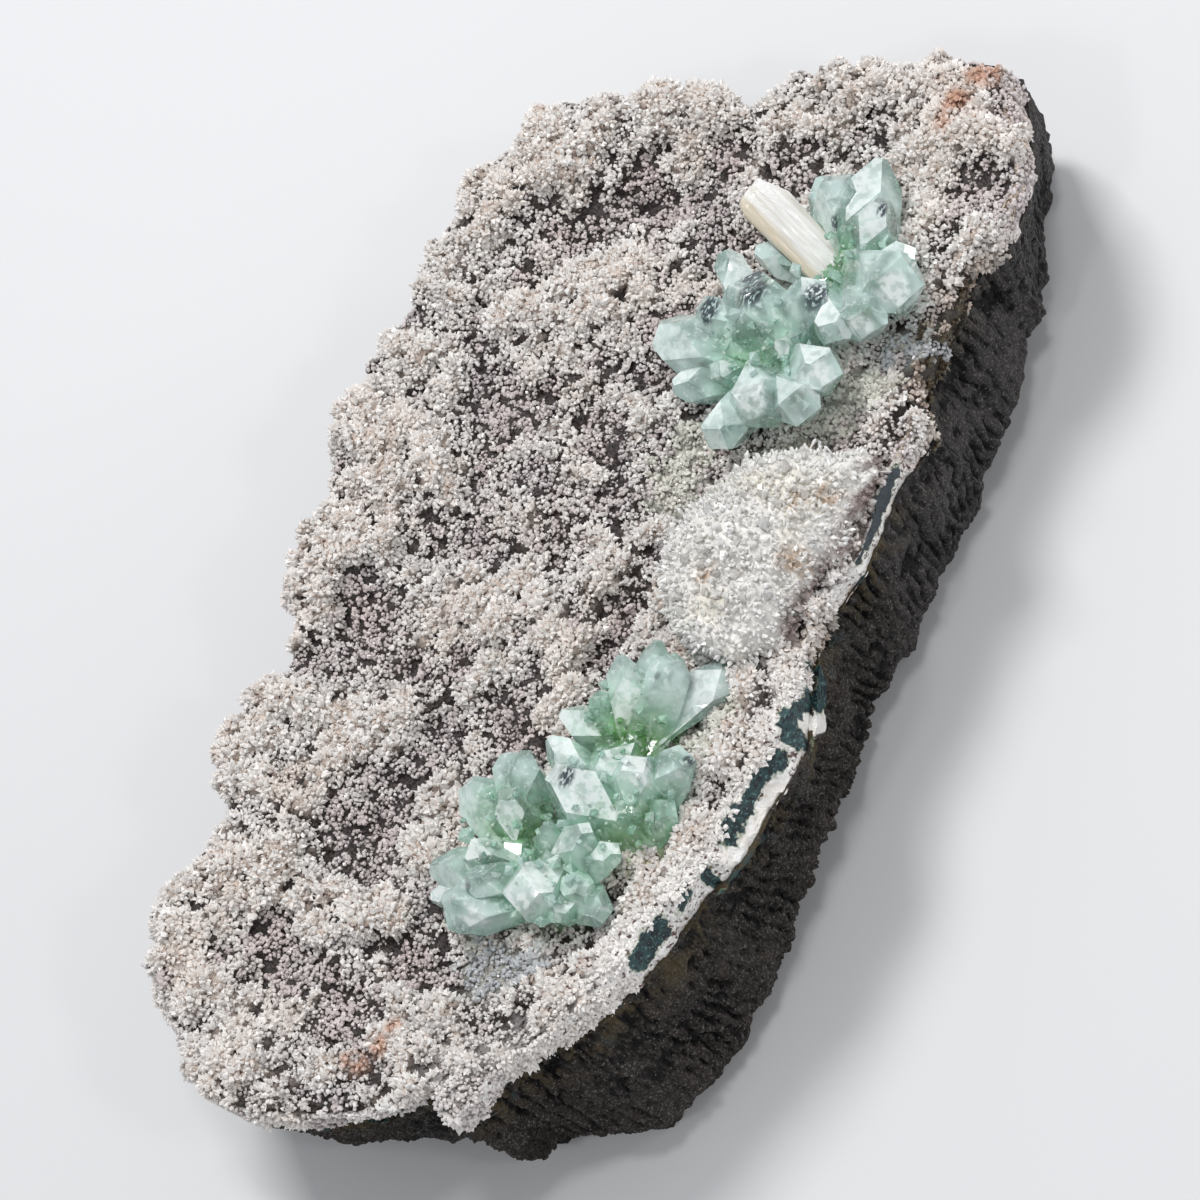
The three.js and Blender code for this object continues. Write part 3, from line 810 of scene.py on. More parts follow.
# Spots stained orange by iron: x, y, radius.
RUST_SPOTS = [
    (49, 170, 5), (47, 158, 4.5), (46, 152, 3), (20, -156, 3), (24, -149, 3),
    (27, -143, 2.5), (50, 51, 2),
]
# The dark of the gaps between grains: partly the rock's own purple-brown, partly painted shade.
PIT_SHADE_TONE = srgb(34, 23, 21)
MIDDLE_TONE = srgb(210, 194, 182)
WHITE_TONE = srgb(244, 241, 238)
BEAD_TONE = srgb(218, 208, 207)
GLASSY_TONE = srgb(238, 237, 225)
ICE_TONE = srgb(194, 199, 204)
RUST_TONE = srgb(208, 168, 146)
EARTH_TONE = srgb(78, 46, 36)
TAN_TONE = srgb(204, 188, 174)
ROCK_TONE = srgb(48, 42, 34)
MOSS_TONE = srgb(84, 75, 55)
LIP_TONE = srgb(224, 206, 188)
ROOT_TONE = srgb(176, 204, 158)


def spot_field(points, spots, soft=1.0):
    """From 1 inside the spots to 0 outside them, in plan."""
    return np.max([
        fade(np.hypot(points[:, 0] - x, points[:, 1] - y), radius - soft, radius + soft)
        for x, y, radius in spots], axis=0)


def earthy(points):
    """From 0 to 1 where the broken edge is brown."""
    span = ease(points[:, 1], 58, 68) * (1 - ease(points[:, 1], 118, 130))
    return np.maximum(span, spot_field(points, EARTHY_SPOTS, 3.0))


def bare_height(points):
    """How high above the rock's edge the druse starts on the broken side."""
    y = points[:, 1]
    return 1.6 + 0.5 * ease(y, 112, 126) + 4.6 * ease(y, 68, 78) * (1 - ease(y, 110, 122))


class Relief:
    """How far the crust's face rises above its surroundings."""

    def __init__(self):
        tree = node_tree("druse_crust")
        low, high = (np.array(corner[:2]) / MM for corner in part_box("druse_crust"))
        self.low = low
        counts = np.ceil((high - low) / RELIEF_STEP).astype(int) + 1
        heights = np.full(counts, np.nan)
        for i, j in np.ndindex(*counts):
            hit = seen_from(RELIEF_RAY, tree, *(low + RELIEF_STEP * np.array((i, j))))
            if hit is not None:
                heights[i, j] = hit.z
        found = ~np.isnan(heights)
        mean = self.spread(np.where(found, heights, 0)) / np.maximum(self.spread(found * 1.0), 1)
        self.rise = np.where(found, heights - mean, 0)

    @staticmethod
    def spread(grid):
        padded = np.pad(grid, RELIEF_REACH)
        width = 2 * RELIEF_REACH + 1
        return sum(padded[i:i + grid.shape[0], j:j + grid.shape[1]]
                   for i in range(width) for j in range(width))

    def at(self, points):
        place = (points[:, :2] - self.low) / RELIEF_STEP
        cell = np.clip(np.floor(place).astype(int), 0, np.array(self.rise.shape) - 2)
        part = np.clip(place - cell, 0, 1)
        (i, j), (u, v) = cell.T, part.T
        return ((1 - u) * (1 - v) * self.rise[i, j] + u * (1 - v) * self.rise[i + 1, j]
                + (1 - u) * v * self.rise[i, j + 1] + u * v * self.rise[i + 1, j + 1])


def refined(points, triangles, chosen):
    """Points and triangles with each edge between chosen points cut in two."""
    work = bmesh.new()
    verts = [work.verts.new(point) for point in points]
    for triangle in triangles:
        work.faces.new([verts[k] for k in triangle])
    work.verts.index_update()
    edges = [edge for edge in work.edges if all(chosen[vert.index] for vert in edge.verts)]
    bmesh.ops.subdivide_edges(work, edges=edges, cuts=1, use_grid_fill=True)
    bmesh.ops.triangulate(work, faces=work.faces)
    work.verts.index_update()
    arrays = (np.array([vert.co for vert in work.verts]),
              np.array([[vert.index for vert in face.verts] for face in work.faces]))
    work.free()
    return arrays


class Crust:
    """The crust's base as an even mesh, and what lies where on it."""

    def __init__(self, wall):
        self.wall = wall
        self.relief = Relief()
        points, triangles = even_mesh("druse_crust", CRUST_VOXEL)
        normals = point_normals(points, triangles)
        points, triangles = refined(points, triangles, self.section(points, normals) > 0.1)
        self.face = points
        self.triangles = triangles
        rng = np.random.default_rng(2)
        self.knobs, _ = spread_sites(points, triangles, KNOB_SPACING, rng)
        self.radii = rng.uniform(0.4, 0.72, len(self.knobs)) * KNOB_SPACING
        self.finder = point_tree(self.knobs)
        self.face_normals = point_normals(points, triangles)
        self.part = self.section(points, self.face_normals)
        self.points = points + self.face_normals * self.shift()[:, None]
        self.points[:, 2] -= SEAM_OVERLAP * fade(self.face_normals[:, 2], -0.6, -0.1)
        foot = self.part * fade(self.height(points), -0.4, 2.2)
        self.points[:, :2] += SEAM_BULGE * foot[:, None] * wall.outward[wall.nearest(points)]
        self.normals = point_normals(self.points, triangles)

    def on_knob(self, points):
        """Where points lie from the middle of the nearest knob, in radii, and how high.

        The height goes from 1 in the middle down to -0.5 between the knobs.
        """
        nearest = nearest_numbers(self.finder, points)
        place = (points - self.knobs[nearest]) / self.radii[nearest, None]
        return place, np.clip(1 - np.sum(place ** 2, axis=1), -0.5, 1)

    def broken(self, points):
        """From 0 on the crusted side to 1 on the broken side of the slab."""
        (x0, y0), (x1, y1) = BROKEN_LINE
        across = (points[:, 1] - y0) * (x1 - x0) - (points[:, 0] - x0) * (y1 - y0)
        return ease(across / math.hypot(x1 - x0, y1 - y0), -2, 4)

    def edge_distance(self, points):
        """How far inside the border of the rock each point lies, in plan."""
        column = self.wall.nearest(points)
        gap = self.wall.border[column] - points[:, :2]
        return np.sum(gap * self.wall.outward[column], axis=1)

    def height(self, points):
        """How high points lie above the rock's edge nearest to them."""
        return points[:, 2] - self.wall.top[self.wall.nearest(points)]

    def section(self, points, normals):
        """1 where the crust is seen in section, on the broken side's steep edge."""
        column = self.wall.nearest(points)
        facing = np.sum(normals[:, :2] * self.wall.outward[column], axis=1)
        steep = np.maximum(ease(facing, 0.5, 0.72), fade(normals[:, 2], -0.3, 0.0))
        return self.broken(points) * steep * (self.edge_distance(points) < SECTION_REACH)

    def above_bare(self, points):
        """How high points on the broken side are above the bare strip; FAR_ABOVE elsewhere."""
        near = (self.broken(points) > 0.5) & (self.edge_distance(points) < STRIP_REACH)
        return np.where(near, self.height(points) - bare_height(points), FAR_ABOVE)

    def fused(self, points):
        """1 where the druse is a smooth white mass, beside the lower broken edge."""
        inward = self.edge_distance(points) + 4 * noise(points, 9, 26)
        near = fade(inward, 7, 13) * ease(points[:, 0], 34, 46)
        span = fade(points[:, 1], -22, 0) * (1 - 0.7 * fade(points[:, 1], -116, -100))
        return self.broken(points) * near * span

    def whiteness(self, points):
        """How white and full the druse is, from 0 in the dark valleys to 1."""
        flat = points[:, :2] + 3 * noise(points, 8, 29)[:, None]
        dark, light = (
            np.max([np.exp(-(run_distance(flat, run) / half) ** 2) for run, half in runs], axis=0)
            for runs in (DARK_RUNS, WHITE_RUNS))
        clump = noises(points, (1, 14, 8), (1, 8, 9))
        value = (0.42 + 0.04 * self.relief.at(points) + 0.5 * clump + 0.5 * light
                 - 0.62 * dark * (1 + 0.8 * noise(points, 8, 27)))
        return np.clip(value + 0.8 * self.fused(points), 0, 1)

    def shift(self):
        """How far the base lies above the crust's face, or below it."""
        points = self.face
        lumps = noises(points, (0.9, 6, 10), (0.55, 3, 11), (0.3, 1.6, 12))
        white = self.whiteness(points)
        fused = self.fused(points)
        knobs = KNOB_RISE * self.on_knob(points)[1] * (0.3 + 0.7 * white) * (1 - 0.6 * fused)
        rise = CLUMP_RISE * ease(white, 0.15, 0.9) - BASE_DROP + knobs + 0.6 * fused * lumps
        covered = (1 - self.part) * ease(self.face_normals[:, 2], -0.5, 0.1)
        return covered * rise + self.part * (lumps - 0.2)


def base_tones(crust):
    points = crust.face
    # The base is dark where the druse is thin and between the knobs: the rock's own brown, deepened
    # as painted shade.
    white = ease(crust.whiteness(points), 0.3, 0.9) * ease(crust.on_knob(points)[1], -0.4, 0.3)
    tones = mix(mix(PIT_SHADE_TONE, MIDDLE_TONE, white), WHITE_TONE, crust.fused(points))
    root = np.min([np.hypot(points[:, 0] - x, points[:, 1] - y) for x, y, _ in ROOTS], axis=0)
    tones = mix(tones, ROOT_TONE, 0.7 * fade(root, 10, 15))
    clear = np.maximum(spot_field(points, GLASSY_SPOTS, 3.0), spot_field(points, ICE_SPOTS, 3.0))
    tones = mix(tones, 0.6 * np.array(GLASSY_TONE), 0.8 * clear)
    tones = mix(tones, 0.8 * np.array(RUST_TONE), spot_field(points, RUST_SPOTS, 1.5))
    pale = 1 - ease(points[:, 1] + 6 * noise(points, 20, 15), 50, 62)
    brown = earthy(points)
    uneven = noises(points, (2.5, 6, 14), (1.2, 2.5, 28))
    wavy = crust.height(points) + uneven
    pinkish = mix(LIP_TONE, (0.86, 0.78, 0.76, 1), ease(noise(points, 5, 30), -0.3, 0.5))
    mossy = mix(ROCK_TONE, MOSS_TONE, ease(noise(points, 2.2, 16), 0.0, 0.6))
    lip = mix(pinkish, mossy, brown)
    section = mix(lip, WHITE_TONE, pale * (1 - brown) * ease(wavy, 0.3, 1.5))
    tones = mix(tones, section, crust.part)
    strip = fade(crust.above_bare(points) + 0.5 * uneven, -0.6, 0.6)
    return mix(tones, lip, brown * strip)


def base_finish():
    finish = Finish("druse_base")
    finish.shade(finish.cloud(0.9, 4.0, 0.35, 0.65, 0.7, 1.1))
    # Painted shade: small dark brown spots stand for pits too fine for the mesh.
    finish.lay(srgb(98, 72, 66), finish.cloud(1.3, 3.0, 0.54, 0.64), kind="MULTIPLY")
    finish.lay(srgb(60, 50, 47), finish.cloud(0.8, 3.0, 0.5, 0.62), kind="SCREEN")
    lay_edge_minerals(finish)
    finish.bump(finish.noise(1.1, 4.0), 0.7)
    return finish.done(0.5)


def grain_finish(name, clear=0.0):
    finish = Finish(name)
    finish.shade(finish.cloud(0.7, 3.0, 0.3, 0.7, 0.84, 1.04))
    return finish.done(finish.cloud(2.0, 2.0, 0.3, 0.7, 0.25, 0.5), clear, QUARTZ_IOR)


def add_crust(crust):
    """Adds what lies under the grains, and the crust's section."""
    fields = edge_fields(crust.face, CHALK_RUNS)
    for field in fields.values():
        field -= FIELD_REACH * (1 - ease(crust.part + crust.fused(crust.face), 0.2, 0.6))
    make_piece("druse_base", crust.points, crust.triangles, base_finish(), "druse",
               ["druse_crust"], tone=opaque(base_tones(crust)), **fields)


def open_sites(crust, spacing, rng):
    """Spots over the crust's covered face that no crystal or mound stands on."""
    corners = crust.triangles
    section = crust.part[corners].mean(1)
    facing = crust.normals[corners].mean(1)
    middle = crust.points[corners].mean(1)
    beaded = np.any([(middle[:, 1] > low) & (middle[:, 1] < high)
                     for low, high in BEADED_SPANS], axis=0)
    scarce = (rng.random(len(middle)) < BARE_SHARE) & (earthy(middle) > 0.5)
    open_face = (facing[:, 2] > -0.35) & ((crust.above_bare(middle) > 0) | scarce)
    chosen = open_face & ((section < 0.5) | beaded)
    sites, normals = scattered(crust.points, corners[chosen], unit(facing[chosen]), spacing, rng)
    solids = node_tree("apophyllite_upper", "apophyllite_lower", "quartz_mound", "stilbite_blade")
    clear = depth_inside(solids, sites + 1.2 * normals, SOLID_REACH) < 1.0
    clear &= run_field(sites, TEAL_RUNS) < 0.3
    return sites[clear], normals[clear]


def rosette_parts(sites, normals, sizes, rng):
    """Feet and directions of the crystals of rosettes: one upright, the rest round it."""
    across, along = tangents(normals)
    step = 2 * np.pi / (ROSETTE_PARTS - 1)
    turn = rng.uniform(0, 2 * np.pi, (len(sites), 1)) + step * np.arange(ROSETTE_PARTS)
    turn += 0.25 * rng.normal(size=turn.shape)
    lean = rng.uniform(*ROSETTE_LEAN, turn.shape)
    lean[:, 0] *= 0.2
    sideways = (across[:, None] * np.cos(turn)[..., None]
                + along[:, None] * np.sin(turn)[..., None]) * lean[..., None]
    axes = unit(normals[:, None] + sideways)
    feet = (sites[:, None] - ROSETTE_SUNK * normals[:, None]
            + 0.6 * sizes[:, None, None] * sideways)
    return feet.reshape(-1, 3), axes.reshape(-1, 3)


def rosette_tones(sites, points, heights, white, fused, brown, mossy, rng):
    """Colours of rosettes, by row and point: dark at the foot, as the rock's own brown and as
    painted shade, white or greyish above.
    """
    full = np.clip(white + 0.12 * rng.normal(size=len(sites)), 0, 1)[:, None]
    foot = mix(PIT_SHADE_TONE, MIDDLE_TONE, ease(full, 0.2, 0.75))
    top = mix(BEAD_TONE, WHITE_TONE, ease(full, 0.05, 0.45))
    warm = ease(noise(sites, 14, 17), -0.3, 0.8) * (1 - fused)
    top = top * mix((1, 1, 1, 1), (1.0, 0.965, 0.945, 1), warm)
    foot = mix(foot, EARTH_TONE, brown)
    grainy = mix(TAN_TONE, MOSS_TONE, mossy * (rng.random(len(sites)) < 0.75))
    top = mix(top, grainy, brown * rng.uniform(0.3, 1.0, len(sites)) ** (1 - mossy))
    top = top * rng.uniform(0.93, 1.0, (len(sites), 1))
    sparse = 1 - ease(full, 0.05, 0.45)
    # Painted shade: each crystal grows darker from its tip down to its foot.
    level = ease(heights, 0.4 + 0.3 * sparse, 1.9 - 0.3 * sparse)[..., None]
    tones = foot[:, None] * (1 - level) + top[:, None] * level
    tones = mix(tones.reshape(-1, 4), WHITE_TONE, 0.8 * np.repeat(fused, heights.shape[1]))
    flat = points.reshape(-1, 3)
    stain = spot_field(flat, RUST_SPOTS, 1.5) * ease(noise(flat, 3, 18), -0.7, 0.1)
    return mix(tones, RUST_TONE, stain).reshape(*heights.shape, 4)


def add_grains(crust, rng):
    """Adds the druse: rosettes of pointed crystals over the crust's whole face."""
    sites, normals = open_sites(crust, ROSETTE_SPACING, rng)
    away, dome = crust.on_knob(sites)
    white = crust.whiteness(sites)
    fused = crust.fused(sites)
    kept = rng.random(len(sites)) < 1.05 + 0.6 * dome * (1 - fused) - 0.25 * fused
    sites, normals, away, white, fused = (
        values[kept] for values in (sites, normals, away, white, fused))
    sharp = ease(white, 0.25, 0.6)
    sizes = rng.uniform(0.75, 1.2, len(sites)) * (0.85 + 0.2 * sharp - 0.2 * fused)
    upright = unit(normals + 0.3 * np.clip(away, -1, 1) + 0.15 * rng.normal(size=sites.shape))
    lifted = sites + rng.uniform(-0.5, 0.4, (len(sites), 1)) * normals
    feet, axes = rosette_parts(lifted, upright, sizes, rng)
    axes = unit(axes + 0.12 * rng.normal(size=axes.shape))
    scale = np.repeat(sizes, ROSETTE_PARTS)
    lengths = rng.uniform(*PART_LENGTH, len(feet)) * scale
    widths = rng.uniform(*PART_WIDTH, len(feet)) * scale
    caps = mix(0.45, 0.8, np.repeat(sharp, ROSETTE_PARTS))[:, 0]
    points, triangles, heights = crystal_points(
        feet, axes, lengths, widths, PART_SIDES, caps, rng)

    points = points.reshape(len(sites), -1, 3)
    shape = triangles[:2 * PART_SIDES * ROSETTE_PARTS]
    heights = heights.reshape(len(sites), -1)
    brown = earthy(sites) * fade(crust.above_bare(sites), 2, 6)
    mossy = brown * fade(crust.above_bare(sites), -0.2, 1.0)
    tones = rosette_tones(sites, points, heights, white, fused, brown, mossy, rng)
    ragged = sites + 2.0 * rng.normal(size=sites.shape)
    ice = spot_field(ragged, ICE_SPOTS, 2.0)
    glassy = np.maximum(spot_field(ragged, GLASSY_SPOTS, 3.0), ice) > 0.5
    clear_top = np.repeat(mix(GLASSY_TONE, ICE_TONE, ice), heights.shape[1], 0)
    # Painted shade: glassy grains are darker towards their feet.
    clear_tones = clear_top * mix(0.65, 1.0, ease(heights, 0.2, 1.4).ravel())
    clear_tones = 0.75 * clear_tones.reshape(tones.shape) + 0.25 * tones

    order = np.argsort(sites[:, 1])
    order = order[~glassy[order]]
    plain = grain_finish("druse_grains")
    for k, group in enumerate(np.array_split(order, GRAIN_PIECES), 1):
        add_rosettes("druse_grains_%d" % k, points[group], tones[group], shape, plain)
    add_rosettes("druse_glassy", points[glassy], clear_tones[glassy], shape,
                 grain_finish("druse_glassy", 0.12))


def add_rosettes(name, points, tones, triangles, finish):
    """Adds rows of points as rosettes, with the triangles between the points of one row."""
    faces = triangles[None] + (np.arange(len(points)) * points.shape[1])[:, None, None]
    make_piece(name, points.reshape(-1, 3), faces.reshape(-1, 3), finish, "druse",
               tone=opaque(tones.reshape(-1, 4)))


# ---- The quartz mound ----

MOUND_VOXEL = 1.3
MOUND_SIDES = 6
# Its small crystals and its larger, clear ones: name, spacing, size and how clear they are.
MOUND_CRYSTALS = [("crystals", 1.0, 1.0, 0.12), ("points", 5.5, 2.0, 0.5)]
MOUND_SUNK = 0.7
MOUND_SPOTS = [(70, 37, 4), (71, 16, 4), (50, 3, 3), (64, 31, 3)]  # brown: x, y, radius


def mound_finish(name, clear):
    finish = Finish(name)
    finish.shade(finish.cloud(0.8, 3.0, 0.3, 0.7, 0.88, 1.03))
    return finish.done(0.22, clear, QUARTZ_IOR)


def mound_tones(points, heights, crust):
    """White, greyer towards each crystal's foot as painted shade, creamier in large patches, with
    brown stains and a purple-brown edge.
    """
    # Painted shade: greyer towards each crystal's foot.
    tones = mix(srgb(222, 217, 210), srgb(252, 251, 249), heights)
    cream_patches = ease(noise(points, 12, 19), 0.1, 0.8)
    tones = mix(tones, srgb(222, 214, 194), 0.55 * cream_patches * (1 - 0.5 * heights))
    stain = spot_field(points, MOUND_SPOTS, 2.0) * ease(noise(points, 2, 20), -0.3, 0.3)
    tones = mix(tones, srgb(190, 156, 120), 0.7 * stain)
    edge = fade(crust.edge_distance(points), 5, 9) * ease(noise(points, 3, 21), -0.3, 0.1)
    return mix(tones, srgb(112, 78, 70), 0.75 * edge)


def add_mound(crust, rng):
    points, triangles = even_mesh("quartz_mound", MOUND_VOXEL)
    normals = point_normals(points, triangles)
    shift = noises(points, (2.2, 10, 22), (1.2, 5, 23), (0.4, 2.5, 34)) - 0.8
    base = points + normals * shift[:, None]
    tones = mound_tones(base, np.full(len(base), 0.4), crust)
    make_piece("quartz_mound_base", base, triangles, mound_finish("quartz_base", 0.0), "quartz",
               ["quartz_mound"], tone=opaque(tones))
    normals = unit(point_normals(base, triangles)[triangles].mean(1))
    others = node_tree("apophyllite_upper", "apophyllite_lower", "druse_crust")
    for name, spacing, size, clear in MOUND_CRYSTALS:
        sites, facing = scattered(base, triangles, normals, spacing, rng)
        kept = depth_inside(others, sites + 0.8 * facing, SOLID_REACH) < 0.2
        kept &= facing[:, 2] > -0.8
        sites, facing = sites[kept], facing[kept]
        lengths = rng.gamma(2.5, 0.5, len(sites)) + 1.3 * size
        widths = rng.uniform(0.9, 1.9, len(sites)) * size
        axes = unit(facing + 0.5 * rng.normal(size=sites.shape))
        crystals, faces, heights = crystal_points(
            sites - MOUND_SUNK * facing, axes, lengths, widths, MOUND_SIDES, 0.8, rng)
        tones = mound_tones(crystals, ease(heights, 0.2, 1.4), crust)
        make_piece("quartz_mound_" + name, crystals, faces, mound_finish("quartz_" + name, clear),
                   "quartz", tone=opaque(tones))


# ---- Apophyllite ----

# Where the fans of crystals spring from; the green is deepest there.
ROOTS = [(30, 70, 62), (39, 102, 62), (49, -45, 66), (61, -67, 68), (32, -83, 64), (49, -88, 66)]
BEVEL = 0.26
FLAT_ANGLE = math.radians(1.5)  # faces that meet below it are one
SHARP_ANGLE = math.radians(20)  # edges above it are bevelled
# Small crystals on the green ones: spacing, range of lengths, how far out from the roots.
YOUNG = (4.6, (3.0, 6.5), 19)
CHIPS = (3.4, (0.9, 2.4), 15)
EDGE_GLEAM = 0.85  # painted highlight on the crystals' bevelled edges; that on faces is below 1
GLINT_STRETCH = (1.35, 0.8, 1.0)  # shortens the painted dark reflections along X and draws them out along Y
# Painted dark reflections, seen in cleavages inside the crystals: x, y, z, radius.
GLINT_SPOTS = [
    (20, 87, 78, 6.0), (24, 82, 82, 6.5), (42, 87, 82, 5.5), (12, 74, 77, 5.0),
    (47, 117, 80, 2.4), (34, 110, 77, 2.8), (45, -64, 85, 3.5), (71, -45, 77, 3.0),
    (25, -110, 75, 3.2), (32, -100, 79, 3.0), (52, -28, 77, 2.6),
]
# White faces, partly milkiness and partly painted highlight, in the same way.
MILK_AND_HIGHLIGHT_SPOTS = [
    (39, 52, 83, 8), (53, 65, 80, 7), (58, 82, 80, 6), (62, 96, 81, 7), (63, -54, 85, 7),
    (48, -97, 84, 8), (12, 93, 72, 5), (26, -92, 80, 6), (36, -107, 76, 5), (50, -83, 83, 5),
]


def apophyllite_finish():
    finish = Finish("apophyllite", srgb(138, 198, 116))
    nearest, *others = map(finish.distance, ROOTS)
    for other in others:
        nearest = finish.math("SMOOTH_MIN", nearest, other, 4 * MM)
    reach = finish.math("MULTIPLY_ADD", finish.noise(6.0, 3.0), 10 * MM, nearest)
    finish.lay(srgb(206, 248, 226), finish.step(reach, 9 * MM, 21 * MM))
    finish.lay(srgb(234, 255, 251), finish.step(reach, 17 * MM, 29 * MM))
    # Painted highlight and shade by face: faces low in gleam are darkened, high ones and the
    # bevelled edges laid near white.
    face = finish.attribute("gleam")
    finish.shade(finish.step(face, 0.05, 0.35, 0.88, 1.0))
    frost = finish.cloud(2.2, 6.0, 0.4, 0.58, 0.55, 1.0)
    gleam = finish.times(finish.step(face, 0.45, 0.8), frost)
    finish.lay(srgb(248, 254, 253), gleam, 0.9)
    veil = finish.cloud(1.8, 7.0, 0.52, 0.64, place=finish.stretched(1.0, 1.0, 0.4))
    finish.lay(srgb(246, 254, 252), veil, 0.5)
    # Milky white, partly painted highlight, at the listed spots.
    milk_and_highlight = finish.times(
        spot_share(finish, MILK_AND_HIGHLIGHT_SPOTS), finish.cloud(2.6, 7.0, 0.42, 0.6, 0.4, 1.0))
    finish.lay(srgb(252, 255, 254), milk_and_highlight, 0.8)
    # Painted reflection: dark streaked patches in the cleavages.
    streaks = finish.cloud(1.5, 5.0, 0.38, 0.5, place=finish.stretched(2.2, 0.8, 1.0))
    glint = finish.times(spot_share(finish, GLINT_SPOTS, GLINT_STRETCH), streaks)
    finish.lay(srgb(62, 68, 82), glint, 0.95)
    cover = finish.math("MAXIMUM", milk_and_highlight, finish.math("MAXIMUM", gleam, finish.times(veil, 0.5)))
    clear = finish.times(
        finish.cloud(9.0, 2.0, 0.35, 0.65, 0.4, 0.75), finish.step(cover, 0.0, 1.0, 1.0, 0.4))
    finish.bump(finish.noise(4.0, 4.0), 0.2, 0.4)
    absorb = finish.add("VolumeAbsorption", (0.52, 0.97, 0.86, 1.0), 5.0)
    finish.put(finish.tree.nodes["Material Output"].inputs["Volume"], absorb[0])
    return finish.done(finish.cloud(5.0, 3.0, 0.4, 0.65, 0.02, 0.12), clear, APOPHYLLITE_IOR)


def spot_share(finish, spots, stretch=(1.0, 1.0, 1.0)):
    """1 near the middle of any of the spots, 0 outside them, each axis stretched."""
    share = 0.0
    place = finish.stretched(*stretch)
    for *spot, radius in spots:
        distance = finish.distance(np.multiply(spot, stretch), place)
        near = finish.step(distance, 0.45 * radius * MM, radius * MM, 1.0, 0.0)
        share = finish.math("MAXIMUM", share, near)
    return share


def chip_finish():
    finish = Finish("apophyllite_chips", srgb(206, 234, 212))
    finish.lay(srgb(246, 252, 248), finish.noise(3.0))
    return finish.done(finish.cloud(1.0, 2.0, 0.3, 0.7, 0.05, 0.25), 0.4, APOPHYLLITE_IOR)


def root_reach(points):
    """How far points are from the nearest root, heights counting half."""
    return np.min([np.linalg.norm((points - root) * (1, 1, 0.5), axis=1) for root in ROOTS],
                  axis=0)


def add_offshoots(name, node, spacing, lengths, reach, finish, rng):
    """Adds small crystals grown on the green ones, from their roots out to `reach`."""
    points, triangles = mesh_arrays(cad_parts[node].data)
    facing = unit(face_normals(points, triangles))
    sites, normals = scattered(points, triangles, facing, spacing, rng)
    near = 1 - ease(root_reach(sites), 0.4 * reach, reach)
    kept = (rng.random(len(sites)) < near) & (normals[:, 2] > -0.1)
    sites, normals = sites[kept], normals[kept]
    tall = rng.uniform(*lengths, len(sites))
    axes = unit(normals + (0, 0, 0.4) + 0.5 * rng.normal(size=sites.shape))
    crystals, faces, _ = crystal_points(
        sites - 0.25 * tall[:, None] * normals, axes, tall,
        tall * rng.uniform(0.5, 0.8, len(sites)), 4, 0.55, rng)
    make_piece(name, crystals, faces, finish, "apophyllite")


def add_apophyllite(name, node, finish, rng):
    """Adds a group of green crystals: the CAD node's form with its edges rubbed off.

    Each face has its own milkiness and painted highlight, most of it on faces that look up towards
    the light, and painted shade where it has little.
    """
    work = bmesh.new()
    work.from_mesh(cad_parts[node].data)
    bmesh.ops.remove_doubles(work, verts=work.verts, dist=WELD)
    bmesh.ops.dissolve_limit(work, angle_limit=FLAT_ANGLE, verts=work.verts, edges=work.edges)
    work.normal_update()
    gleam = work.faces.layers.float.new("gleam")
    for face in work.faces:
        face[gleam] = rng.random() * (0.55 + 0.45 * face.normal.z)
    sharp = [edge for edge in work.edges
             if edge.is_convex and edge.calc_face_angle(0) > SHARP_ANGLE]
    rubbed = bmesh.ops.bevel(work, geom=sharp, offset=BEVEL * MM, offset_type="OFFSET",
                             segments=1, profile=0.5, affect="EDGES", clamp_overlap=True)
    # The bevelled edges are painted as highlights.
    for face in rubbed["faces"]:
        face[gleam] = EDGE_GLEAM
    mesh = bpy.data.meshes.new(name)
    work.to_mesh(mesh)
    work.free()
    dress(mesh, finish, [node])


# ---- The stilbite blade ----

# The blade's middle line, and its outline to either side: along it, and across it.
BLADE_ROOT = (33.6, 100.7, 67)
BLADE_TIP = (5.6, 111.7, 79)
BLADE_LEFT = [(-9, -2.0), (-4, -4.6), (0, -6.1), (26.6, -7), (31.1, -5.3), (32.3, 3.0)]
BLADE_RIGHT = [(-9, 2.0), (-4, 4.6), (0, 6.1), (23.3, 7), (32.3, 3.3)]
BLADE_THICKNESS = 4.6
BLADE_ROWS = 46
BLADE_COLUMNS = 80
BLADE_TAPER = 4  # length over which it thins towards each end
STRIATION = 0.16


def blade_finish():
    finish = Finish("stilbite", srgb(252, 251, 249))
    grain = finish.attribute("grain", "Vector")
    lines = finish.noise(1.2, 4.0, grain)
    finish.lay(srgb(226, 222, 212), finish.step(lines, 0.4, 0.7))
    flank = finish.step(finish.axis("X", grain), -4.5 * MM, -2.0 * MM, 0.75, 0.0)
    finish.lay(srgb(214, 198, 166), flank)
    finish.bump(lines, 0.2, 0.7)
    return finish.done(finish.step(lines, 0.3, 0.7, 0.22, 0.42), 0.25)


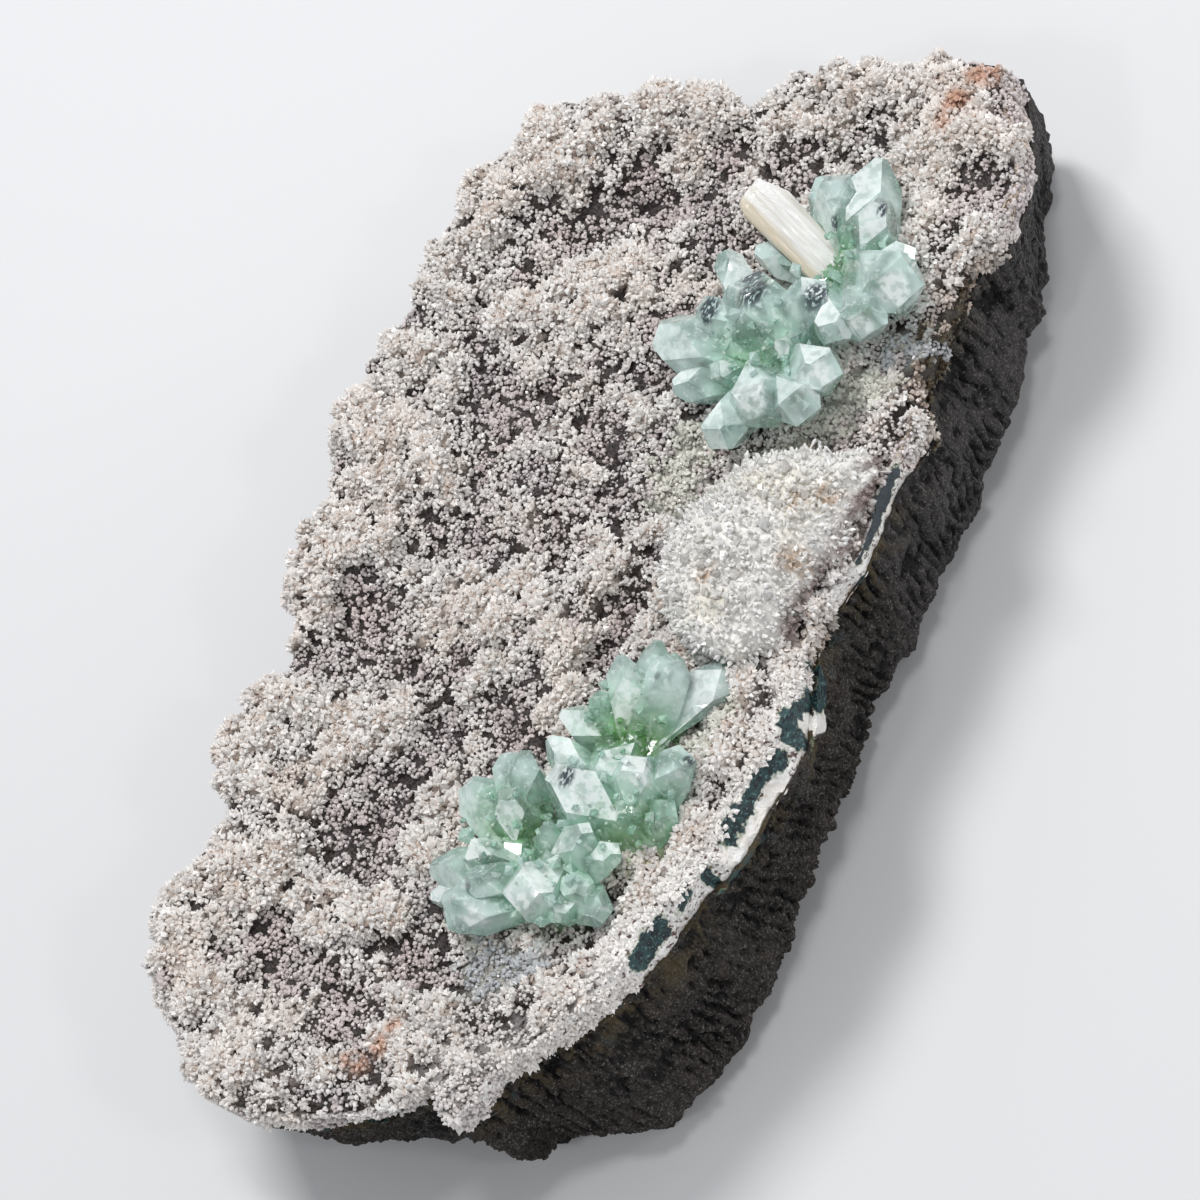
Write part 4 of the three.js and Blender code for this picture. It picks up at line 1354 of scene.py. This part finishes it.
def add_blade():
    """Adds the blade: a loft along its length, ribbed as a sheaf of thin crystals is."""
    root, tip = np.array(BLADE_ROOT), np.array(BLADE_TIP)
    axis = unit(tip - root)
    flat = unit(np.array((0, 0, 1)) - axis[2] * axis)
    side = np.cross(axis, flat)
    along = np.linspace(BLADE_LEFT[0][0], BLADE_LEFT[-1][0], BLADE_ROWS)
    left, right = (
        np.interp(along, *np.array(half).T)[:, None] for half in (BLADE_LEFT, BLADE_RIGHT))
    turn = np.linspace(0, 2 * np.pi, BLADE_COLUMNS, endpoint=False)
    across, thick = (np.sign(wave) * np.abs(wave) ** power
                     for wave, power in ((np.cos(turn), 0.8), (np.sin(turn), 0.35)))
    places = (left + right) / 2 + (right - left) / 2 * across
    from_end = np.minimum(along[-1] - along, along - along[0])
    slope = np.clip(from_end / BLADE_TAPER, 0.25, 1)[:, None]
    heights = BLADE_THICKNESS / 2 * thick * slope
    rows = np.repeat(along[:, None], len(turn), 1)
    flat_points = np.dstack([places, 0.12 * rows, heights]).reshape(-1, 3)
    ribs = noises(flat_points, (1, 1.1, 24), (0.6, 0.5, 25)).reshape(rows.shape)
    heights = heights + STRIATION * np.sign(thick) * ribs
    ends = rows + (along == along[-1])[:, None] * 0.4 * ribs
    points = (root + ends[..., None] * axis + places[..., None] * side
              + heights[..., None] * flat).reshape(-1, 3)
    rings = np.arange(len(points)).reshape(rows.shape)
    faces = ring_faces(rings) + [rings[0][::-1].tolist(), rings[-1].tolist()]
    grain = np.dstack([places, 0.06 * rows, heights]) * MM
    make_piece("stilbite_sheaf", points, faces, blade_finish(), "stilbite", ["stilbite_blade"],
               grain=grain)


# ---- Building ----

add_camera()
add_world()
add_lights()
add_floor()
wall = Wall()
add_basalt(wall)
crust = Crust(wall)
add_crust(crust)
add_grains(crust, np.random.default_rng(3))
add_mound(crust, np.random.default_rng(4))
green = apophyllite_finish()
clear = chip_finish()
for k, half in enumerate(("upper", "lower")):
    name = "apophyllite_" + half
    rng = np.random.default_rng(5 + k)
    add_apophyllite(name + "_crystals", name, green, rng)
    add_offshoots(name + "_young", name, *YOUNG, green, rng)
    add_offshoots(name + "_chips", name, *CHIPS, clear, rng)
add_blade()
